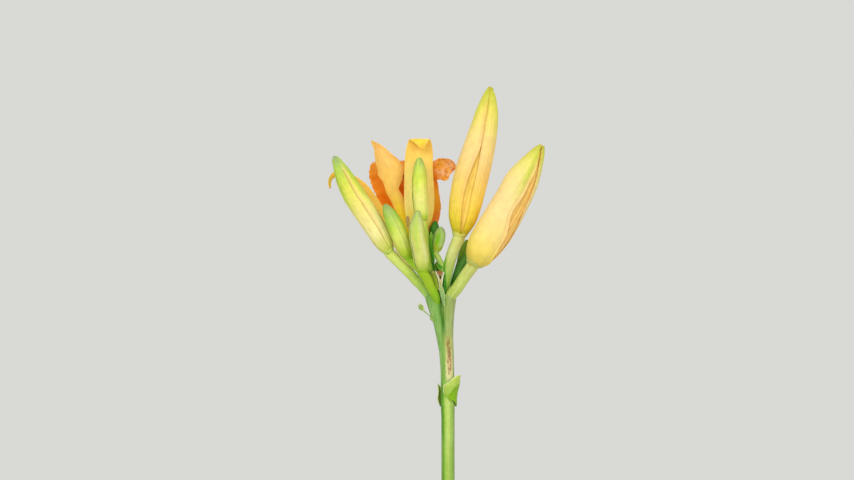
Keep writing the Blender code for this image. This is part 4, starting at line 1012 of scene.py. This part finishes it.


# Sepals and petals: the ramps of the outer and the inner face from foot to tip, the margin's colour and
# share, the veins' colour and share, and how much of the pale patches (partly painted highlight) and the
# brown ones (painted shade) shows.
BLADE_COLOURS = {
    "sepal_front": (
        ((0, "#d8c430"), (0.08, "#f8d850"), (0.2, "#ffdf68"), (0.34, "#ffe684"), (0.48, "#fde486"),
         (0.62, "#f8dc78"), (0.76, "#f8cf5c"), (0.88, "#f4c448"), (1, "#e4ac28")),
        ((0, "#e8c030"), (0.5, "#f09020"), (0.8, "#f2cf34"), (0.93, "#f6dc40"), (1, "#d8a018")),
        "#fcc060", 0.4, "#f8c858"),
    "sepal_left": (
        ((0, "#ecd05a"), (0.1, "#fcd050"), (0.25, "#ffd252"), (0.45, "#ffd060"), (0.6, "#fccc5c"),
         (0.75, "#f6c850"), (0.9, "#eac444"), (1, "#dcb43c")),
        ((0, "#f0c430"), (0.4, "#f4a434"), (0.8, "#eeb440"), (1, "#d8b440")),
        "#f8b850", 0.35, "#f0b848"),
    "sepal_back": (
        ((0, "#e0cc40"), (0.2, "#f6d050"), (0.5, "#fac858"), (0.85, "#f4c048"), (1, "#dcc048")),
        ((0, "#f0c430"), (0.3, "#f09424"), (0.6, "#ee8420"), (1, "#f0a434")),
        "#f4a040", 0.5, "#e89430"),
    "petal_left": (
        ((0, "#f4dc3c"), (0.1, "#ffe42c"), (0.2, "#ffdc18"), (0.32, "#ffd830"), (0.42, "#fed250"),
         (0.52, "#f8cb60"), (0.65, "#f9ca66"), (0.78, "#f7cb6e"), (0.9, "#f0c272"), (1, "#e0b062")),
        ((0, "#f4c420"), (0.3, "#ec8418"), (0.6, "#e4701c"), (1, "#e89838")),
        "#f2ac50", 0.45, "#f0ac4c"),
    "petal_right": (
        ((0, "#d49018"), (0.12, "#dc7410"), (0.24, "#f48010"), (0.34, "#fc9408"), (0.42, "#ffb008"),
         (0.5, "#ffb408"), (0.58, "#ffa408"), (0.68, "#f0881c"), (0.76, "#f0a028"), (0.84, "#f4b03c"),
         (0.92, "#f4b860"), (1, "#e89858")),
        ((0, "#f0b418"), (0.25, "#f08010"), (0.5, "#f48c0c"), (0.75, "#d87c24"), (1, "#d8883c")),
        "#f08c24", 0.3, "#ec8420", 0.3, 0.7),
    "petal_back": (
        ((0, "#f0b818"), (0.3, "#f49018"), (0.6, "#f09028"), (1, "#eca040")),
        ((0, "#ffc410"), (0.16, "#ff8c04"), (0.28, "#ff8802"), (0.4, "#ff8c02"), (0.5, "#fb9004"),
         (0.6, "#f29410"), (0.7, "#ea9520"), (0.8, "#eda434"), (0.9, "#e08a26"), (1, "#c67325")),
        "#e88420", 0.3, "#e87c10", 0.25),
}


def build_flower():
    """The open flower: its tube, three sepals, three petals, six stamens and the pistil."""
    rows, sides = 30, 48
    line, tangents = route_line(TUBE_ROUTE, rows)
    tangents[-1] = (0, 0, 1)
    along = np.linspace(0, 1, rows)[:, None]
    lobes = np.cos(np.radians(6 * np.linspace(0, 360, sides, endpoint=False)))[None, :]
    rings = tube_rings(line, tangents, flow(TUBE_OUTLINE, along) * (1 + 0.05 * along * lobes), sides)
    skin = stalk_skin("flower_tube_waxy_epidermis",
                      ((0.0, "#a8c438"), (0.4, "#c4c83c"), (1.0, "#e0c634")), "#ecdc80")
    tube = ring_body(rings, dict(along=along, grown=grown(rings)))
    make_piece("flower_tube", [tube], skin, "bud_skin", "flower_tube")

    for name, blade in {**SEPALS, **PETALS}.items():
        kind, side = name.split("_")
        skin = petal_skin(f"{side}_{kind}_velvety_skin", *BLADE_COLOURS[name])
        make_piece(name, blade_bodies(**blade), skin, kind + "_skin", name)

    filament = stamen_skin("stamen_filament_and_pollen",
                           ((0.0, "#f2c02c"), (0.5, "#ee9420"), (1.0, "#d8661c")), ("#4a2812", "#c06c18"))
    style = stamen_skin("style_translucent_thread",
                        ((0.0, "#f2c83c"), (0.6, "#f0a028"), (1.0, "#e87c1c")), ("#e8b048", "#f4d080"))
    for index in range(6):
        angle = math.tau * (index + 0.5) / 6
        height = STAMEN_HEIGHT + STAMEN_VARIATION * math.cos(2 * angle)
        name = f"stamen_{index + 1}"
        make_piece(name, stamen_bodies(angle, height), filament, "stamen", name)
    make_piece("pistil", pistil_bodies(), style, "style", "pistil")


# Scape bract: azimuth from the front (negative to the left), then height and stand-off of its lower edge,
# height and stand-off of its upper edge, and where its crease runs between the two (0 lower, 1 upper).
BRACT_EDGES = (
    (-34, 248.6, 0.05, 252.6, 0.1, 0),
    (-16, 247.2, 0.25, 253, 0.2, 0.05),
    (0, 245.9, 0.45, 253.7, 0.3, 0.22),
    (20, 244.6, 0.6, 255, 0.6, 0.42),
    (42, 244.4, 0.75, 256.8, 1.6, 0.58),
    (62, 243.2, 0.75, 257.8, 2.8, 0.66),
    (80, 241.8, 0.6, 257.6, 3.2, 0.72),
    (95, 241.4, 0.75, 256, 2.8, 0.76),
    (120, 241.3, 0.55, 252.5, 1.4, 0.8),
    (150, 241.3, 0.35, 250.4, 0.5, 0.8),
    (190, 241.3, 0.3, 249.8, 0.3, 0.8),
    (230, 241.3, 0.3, 251, 0.5, 0.8),
    (256, 241.3, 0.2, 253, 1.15, 0.8),
    (272, 241.6, 0.1, 253.6, 1.45, 0.8),
)


def clasping_leaf():
    """Leaf that clasps the scape from behind: it creases across its front and its end stands off."""
    rows, columns = 48, 150
    azimuth = np.linspace(BRACT_EDGES[0][0], BRACT_EDGES[-1][0], columns)
    low, low_off, high, high_off, crease = flow(BRACT_EDGES, azimuth).T
    place = np.linspace(0, 1, rows)[:, None]
    height = low + (high - low) * place
    ends = ease(-34, -10, azimuth) * ease(272, 262, azimuth)
    folded = ease(-34, 10, azimuth) * ease(150, 100, azimuth)
    hollow = ease(0, 30, azimuth) * ease(110, 70, azimuth)
    bulge = 0.9 * np.exp(-((place - 0.3) / 0.25) ** 2) * ease(225, 262, azimuth)
    bulge += 0.30 * np.exp(-((place - crease) / 0.16) ** 2) * folded
    bulge -= 0.45 * np.exp(-((place - crease * 0.45) / 0.2) ** 2) * hollow
    ripple = 0.06 * np.sin(place * 9 + azimuth / 11) * ends
    rise = 1.6 + 0.4 * ease(20, 60, azimuth) * ease(120, 95, azimuth)
    off = low_off + (high_off - low_off) * place ** rise + bulge + ripple
    turn = np.radians(azimuth)
    outward = np.stack([np.sin(turn), -np.cos(turn), 0 * turn], axis=-1)[None]
    centre = np.stack([-5.9 - 0.016 * (height - 241.5), 0 * height, height], axis=-1)
    thick = 0.16 + 0.34 * ends * (1 - place ** 6) * (0.5 + 0.5 * ease(0.0, 0.2, place))
    inner = centre + outward * (3.72 + off)[..., None]
    outer = inner + outward * thick[..., None]
    around = np.radians(azimuth - azimuth[0]) * 4
    from_ends = np.minimum(around, around[-1] - around)
    edge = np.minimum(from_ends, (high - low) * np.minimum(1 - place, place + 0.1))
    # Mask of the part below the crease, where the painted shade is laid.
    below = ease(0.02, -0.06, place - crease) * ease(-20, 15, azimuth) * ease(120, 80, azimuth)
    marks = dict(along=place, across=np.linspace(-1, 1, columns), edge=edge, below=(below, 0.0))
    return leaf_body(outer, inner, marks)


def lance(route, across, widths, depth, ruffle=0.15, thickness=0.35):
    """Small bract or scrap of one, as a thin blade."""
    return blade_bodies(route, across, widths, steady(depth), ruffle, 2, rows=44, columns=21,
                        thickness=thickness, sunk=0.0, midrib=0.12)


FACING = (1, 0, 0)

# Small bracts: the piece, its slot, the nodes that it stands for, its skin, and its blades, each a route,
# the direction of the width, the width by place and the cup's depth, then a ruffle's height if not 0.15.
SMALL_BRACTS = (
    ("cup_bract_leaf", "leafy_bract", (), (
        "cup_bract_leaf", ((0, "#94b420"), (0.5, "#8ca41c"), (0.85, "#90a030"), (1, "#b4b468")),
        "#b8b868", 0.3, "#6c8c10"), (
        (((-11.2, -2.6, 301.6), (-12.2, -3.1, 305), (-13, -3, 308.4), (-13.6, -2.4, 311.8)), FACING,
         ((0, 1.6), (0.35, 3.6), (0.65, 3.8), (0.9, 2.2), (1, 0.5)), 0.5),)),
    ("cup_bract", "withered_bract", ("cup_bract",), (
        "cup_bract_paper", ((0, "#b4c460"), (0.4, "#c0b870"), (0.7, "#d4c498"), (1, "#ecdcc4")),
        "#f0e8cc", 0.45, "#a89c50"), (
        (((-9.9, -3.2, 301.6), (-9.9, -3.7, 305.2), (-10.8, -3.6, 308.6), (-12.4, -3, 312)),
         ((0, (1, 0, 0)), (0.6, (0.9, 0.3, 0.3)), (1, (0.7, 0.6, 0.3))),
         ((0, 0.7), (0.35, 1.3), (0.65, 1), (0.9, 0.7), (1, 0.2)), 0.4),
        (((-9.5, -3.2, 301.8), (-9.3, -3.7, 305.4), (-8.8, -3.3, 308.6), (-7.8, -2.6, 311.4)),
         ((0, (1, 0, 0)), (0.6, (0.9, -0.3, -0.3)), (1, (0.7, -0.6, -0.3))),
         ((0, 0.7), (0.35, 1.2), (0.65, 1.1), (0.9, 0.7), (1, 0.2)), 0.4))),
    ("cup_bract_core", "withered_bract", (), (
        "cup_bract_dead_tissue", ((0, "#b89c64"), (0.4, "#a06c3c"), (1, "#945830")),
        "#d0a878", 0.5, "#6c4424"), (
        (((-9.9, -3.5, 309.2), (-10.1, -3.9, 310.4), (-10.2, -3.6, 311.8)), FACING,
         ((0, 1), (0.4, 2.4), (0.7, 2.9), (0.92, 2.6), (1, 1.2)), 0.5, 0.5),)),
    ("fork_bract", "leafy_bract", ("fork_bract",), (
        "fork_bract_leaf", ((0, "#8cb45c"), (0.5, "#88b060"), (0.8, "#9cb870"), (1, "#b0c488")),
        "#bccc98", 0.5, "#78a040"), (
        (((-7.7, -3.2, 293.4), (-8.2, -4, 297), (-8.8, -3.9, 300.4), (-9.6, -3.4, 304.6)), FACING,
         ((0, 0.6), (0.3, 1.7), (0.6, 2.4), (0.85, 1.9), (1, 0.7)), 0.5, 0.1),)),
    ("inner_left_bract", "leafy_bract", (), (
        "inner_left_bract_leaf", ((0, "#b4cc60"), (0.4, "#b8c858"), (0.8, "#c4c868"), (1, "#c8cc70")),
        "#e8b890", 0.9, "#8ca038"), (
        (((-21.4, -1.6, 311.2), (-24.8, -2.6, 314.6), (-28.6, -3.2, 318.8), (-31.6, -3.4, 322.4),
          (-34.2, -3.6, 326.4)), (0.6, -0.4, 0.6),
         ((0, 1.2), (0.25, 2.6), (0.5, 3.4), (0.8, 2.8), (0.95, 1.2), (1, 0.3)), 0.5),)),
    ("withered_bract_tip", "withered_bract", (), (
        "bract_tip_dead_tissue", ((0, "#d8d04c"), (0.4, "#d0b450"), (0.75, "#b89858"), (1, "#a88c5c")),
        "#d4b878", 0.3, "#a08044"), (
        (((-23.6, -5, 329.5), (-25.4, -4.4, 333.5), (-26.6, -4, 337), (-26.7, -4, 340.4)), FACING,
         ((0, 1), (0.4, 1.8), (0.75, 2.2), (0.92, 1.5), (1, 0.5)), 0.4),)),
    # Painted shade: these small bracts in the fork are coloured dark green for the shade they sit in, and the
    # long one beside the tall stalk partly stands for shade on that stalk's left side.
    ("fork_sheaths", "leafy_bract", (), (
        "small_bract_painted_shade", ((0, "#347c10"), (0.5, "#449010"), (1, "#80b428")),
        "#98bc58", 0.3, "#2c6c0c"), (
        (((-12, -1.4, 316.5), (-9.6, -1.6, 313.4), (-7.8, -1.2, 311.2)), (0.6, 0, 0.8),
         ((0, 0.6), (0.4, 1.8), (0.8, 2.2), (1, 1.2)), 0.4),
        (((-13.6, 0.8, 312), (-14.2, 0.6, 317), (-14.2, 0.8, 322), (-13.8, 1.2, 331)), FACING,
         ((0, 2), (0.4, 3), (0.8, 2.4), (1, 0.8)), 0.7),
        (((-10.9, 1.4, 306), (-11.3, 1.2, 309.5), (-11.6, 1, 313), (-11.6, 1, 316.6)), FACING,
         ((0, 3.4), (0.5, 3.4), (0.85, 2.4), (1, 0.8)), 0.5),
        (((-13, 1.6, 303), (-14.2, 1.4, 308), (-14.8, 1.4, 313), (-14.2, 1.6, 318.6)), FACING,
         ((0, 2), (0.4, 2.8), (0.8, 2.2), (1, 0.4)), 0.7),
        (((-12.4, -1.4, 303.6), (-13.2, -1.9, 307.4), (-13.4, -1.8, 311.4)), FACING,
         ((0, 1.4), (0.4, 2.6), (0.75, 2.2), (1, 0.4)), 0.7),
        (((-7.2, -1.2, 299), (-7.7, -1.7, 304), (-7.7, -1.7, 309), (-7.5, -1.8, 314),
          (-6.6, -2, 320)), FACING,
         ((0, 2.2), (0.3, 2.8), (0.6, 2.2), (0.85, 1.4), (1, 0.4)), 0.8),
        (((-13.2, -1.6, 316), (-13.9, -2.2, 321), (-14.4, -2.4, 326.4), (-14.6, -2.2, 332)), FACING,
         ((0, 1.4), (0.4, 2.4), (0.8, 2.2), (1, 0.6)), 0.7))),
)


def build_bracts():
    """The clasping bract at the scape's node, the withered scrap, and the small bracts in the fork."""
    # The scape bract's darker green below its crease, #84b410, is painted shade.
    leafy = bract_skin("scape_bract_leaf",
                       ((0.0, "#90b83c"), (0.25, "#98b848"), (0.6, "#a4c04c"), (1.0, "#bcd05c")),
                       "#dce4a4", 0.7, "#88ac38", "#84b410", 20)
    make_piece("scape_bract", [clasping_leaf()], leafy, "leafy_bract", "scape_bract")

    papery = bract_skin("withered_bract_paper",
                        ((0.0, "#9cb848"), (0.5, "#8cac50"), (0.75, "#a4b870"), (1.0, "#e8e4d0")),
                        "#dcdcb8", 0.35, "#7c9440")
    rows = 40
    line, tangents = route_line(
        ((-12.6, -1.4, 285.8), (-14.4, -0.8, 287.6), (-16.4, -0.7, 289.4), (-18.4, -0.8, 291.0)), rows)
    radii = flow(((0.0, 1.1), (0.25, 0.75), (0.4, 0.42), (1.0, 0.34)), np.linspace(0, 1, rows))
    blank = dict(across=0.0, edge=5.0, inner=0.0)
    thread = ring_body(tube_rings(line, tangents, radii, 16),
                       dict(along=np.linspace(0, 0.5, rows)[:, None], **blank))
    flake = lance(((-18.5, -0.9, 290.9), (-19.4, -1.0, 292.0), (-20.2, -0.9, 293.5), (-20.7, -0.7, 295.4)),
                  ((0.0, (0.8, -0.5, 0.3)), (0.5, (0.9, -0.3, 0.3)), (1.0, (0.9, 0.1, 0.2))),
                  ((0.0, 0.7), (0.25, 2.6), (0.5, 3.1), (0.8, 1.6), (1.0, 0.3)), 0.7, 0.3, 0.3)
    stub = knob((-14.2, -0.9, 286.6), unit(np.array([-0.8, 0.0, 0.6])), 1.2, 0.75, dict(along=0.6, **blank))
    make_piece("dry_wisp", [*flake, thread, stub], papery, "withered_bract", "dry_wisp")

    for name, slot, nodes, skin, blades in SMALL_BRACTS:
        bodies = [body for blade in blades for body in lance(*blade)]
        make_piece(name, bodies, bract_skin(*skin), slot, *nodes)


def profile_body(profile):
    """Body turned about the Z axis from a profile that starts and ends on the axis."""
    sides = 144
    profile = np.array(profile, dtype=float)
    turn = np.linspace(0, math.tau, sides, endpoint=False)
    radii, heights = [np.broadcast_to(values[:, None], (len(values), sides)) for values in profile[1:-1].T]
    rings = np.stack([radii * np.cos(turn), radii * np.sin(turn), heights], axis=-1)
    verts, faces, marks = ring_body(rings, {})
    verts[-2:] = ((0, 0, profile[0, 1]), (0, 0, profile[-1, 1]))
    return verts, faces, marks


def arc(centre, radius, start, end, count):
    """Points of an arc in the profile's plane, angles in degrees."""
    angles = np.radians(np.linspace(start, end, count))
    return [(centre[0] + radius * math.cos(a), centre[1] + radius * math.sin(a)) for a in angles]


def shoulder(start, end):
    """S-curve from the body's wall to the neck's."""
    shares = [(0.5 - 0.5 * math.cos(math.pi * t), t) for t in np.linspace(0, 1, 28)]
    return [(start[0] + (end[0] - start[0]) * across, start[1] + (end[1] - start[1]) * up)
            for across, up in shares]


def wall(radius, start, end, count):
    """Points up or down a straight wall of the profile."""
    return [(radius, height) for height in np.linspace(start, end, count)]


def build_bottle():
    """The bottle and the water in it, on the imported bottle's own height, width and water level."""
    low, high = [[value / MM for value in corner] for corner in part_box("bottle")]
    height, radius = high[2] - low[2], (high[0] - low[0]) / 2
    neck, bore, lip, glass, floor = 13.0, 9.15, 15.2, 2.6, 5.0
    heel, inner_heel, finish, mouth = 4.0, 5.5, 3.2, 1.9            # the radii of the rounded edges
    shoulder_foot, shoulder_top = 104, 150
    dome = [(0, 1.6), (6, 1.5), (12, 1.25), (17, 0.85), (22, 0.35)]  # the hollow under the base
    outside = dome + arc((26.0, 1.6), 1.6, 250, 270, 5) + [(28.0, 0.0)]
    outside += arc((radius - heel, heel), heel, 278, 360, 12) + wall(radius, 8, 102, 24)
    outside += shoulder((radius, shoulder_foot), (neck, shoulder_top)) + wall(neck, 152, 174, 8)
    outside += arc((neck + 1.6, 176.0), 1.6, 180, 110, 5)
    outside += arc((lip - finish, 181.2), finish, -40, 0, 5)
    outside += arc((lip - finish, height - finish), finish, 0, 78, 8)
    inside = arc((bore + mouth, height - mouth), mouth, 100, 180, 7) + wall(bore, height - 6, 152, 10)
    inside += shoulder((radius - glass, shoulder_foot), (bore, shoulder_top))[::-1]
    inside += wall(radius - glass, 102, 14, 24)
    inside += arc((radius - glass - inner_heel, floor + inner_heel), inner_heel, 0, -84, 12)
    inside += [(20, floor + 0.05), (12, floor + 0.45), (6, floor + 0.7), (0, floor + 0.8)]
    make_piece("bottle", [profile_body(outside + inside)], bottle_glass(), "clear_glass", "bottle")

    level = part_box("water")[1][2] / MM
    inner = radius - glass + 0.06                                   # the water enters the glass a little
    bed = [(0, floor + 0.76), (6, floor + 0.66), (12, floor + 0.41), (20, floor + 0.0)]
    bed += arc((inner - inner_heel, floor + 5.44), inner_heel, -84, 0, 12) + wall(inner, 14, level - 1, 20)
    meniscus = ((0.0, 1.3), (0.25, 0.85), (0.7, 0.45), (1.3, 0.2), (2.2, 0.06))
    surface = [(inner - inset, level + rise) for inset, rise in meniscus]
    surface += [(r, level) for r in np.linspace(inner - 3.4, 0.6, 44)]
    verts, faces, marks = profile_body(bed + surface + [(0, level)])
    stem_x = float(np.interp(level, (5.5, 100.0), (0.6, -2.5)))
    climb = 1.3 * np.exp(-np.maximum(np.hypot(verts[:, 0] - stem_x, verts[:, 1]) - 3.4, 0) / 1.1)
    verts[:, 2] += np.where(verts[:, 2] > level - 0.01, climb, 0)
    make_piece("water", [(verts, faces, marks)], still_water(), "water", "water")


def build_stage():
    """Plain pale floor that runs out into the background, a soft key, fill and back light, the camera."""
    world = bpy.data.worlds.new("studio")
    bpy.context.scene.world = world
    world.use_nodes = True
    backdrop = "#d9d9d6"
    world.node_tree.nodes["Background"].inputs[0].default_value = linear(backdrop)
    world.node_tree.nodes["Background"].inputs[1].default_value = 1.0

    mesh = bpy.data.meshes.new("floor")
    sides = 64
    rings = [(radius * math.cos(a), radius * math.sin(a), 0.0) for radius in (0.5, 2.0, 12.0)
             for a in np.linspace(0, math.tau, sides, endpoint=False)]
    faces = [tuple(range(sides))]
    for start in (0, sides):
        for side in range(sides):
            a, b = start + side, start + (side + 1) % sides
            faces.append((a + sides, b + sides, b, a))
    mesh.from_pydata(rings, [], faces)
    floor = bpy.data.objects.new("floor", mesh)
    bpy.context.scene.collection.objects.link(floor)
    material, tree = new_material("matt_studio_floor")
    matt = add(tree, "BsdfPrincipled", links={
        "Base Color": "#d2d2cf", "Roughness": 0.9, "Specular IOR Level": 0.1})
    distance = add(tree, "VectorMath", add(tree, "NewGeometry"), operation='LENGTH')
    far = zone(tree, (distance, 0.45, 1.5))
    add(tree, "OutputMaterial", add(tree, "MixShader", far, matt, add(tree, "Emission", backdrop)))
    mesh.materials.append(material)

    aim = Vector((-0.012, 0.0, 0.30))
    lamps = (("key", (-0.75, -1.35, 1.05), 11.0), ("fill", (0.85, -1.4, 0.62), 7.5),
             ("back", (0.3, 1.5, 1.1), 8.0))
    for name, place, watts in lamps:
        lamp = bpy.data.lights.new(name, 'AREA')
        lamp.size = 0.9
        lamp.energy = watts
        light = bpy.data.objects.new(name, lamp)
        light.location = place
        light.rotation_euler = (aim - Vector(place)).to_track_quat('-Z', 'Y').to_euler()
        bpy.context.scene.collection.objects.link(light)

    camera_data = bpy.data.cameras.new("camera")
    camera_data.sensor_width = 36.0
    camera_data.lens = 105.39
    camera_data.clip_start = 0.01
    camera = bpy.data.objects.new("camera", camera_data)
    camera.location = (-0.01667, -1.3, 0.3278)
    camera.rotation_euler = (math.radians(90), 0, 0)
    bpy.context.scene.collection.objects.link(camera)
    bpy.context.scene.camera = camera
    bpy.context.scene.view_settings.view_transform = 'Standard'


build_stage()
build_bottle()
build_stalks()
build_buds()
build_flower()
build_bracts()
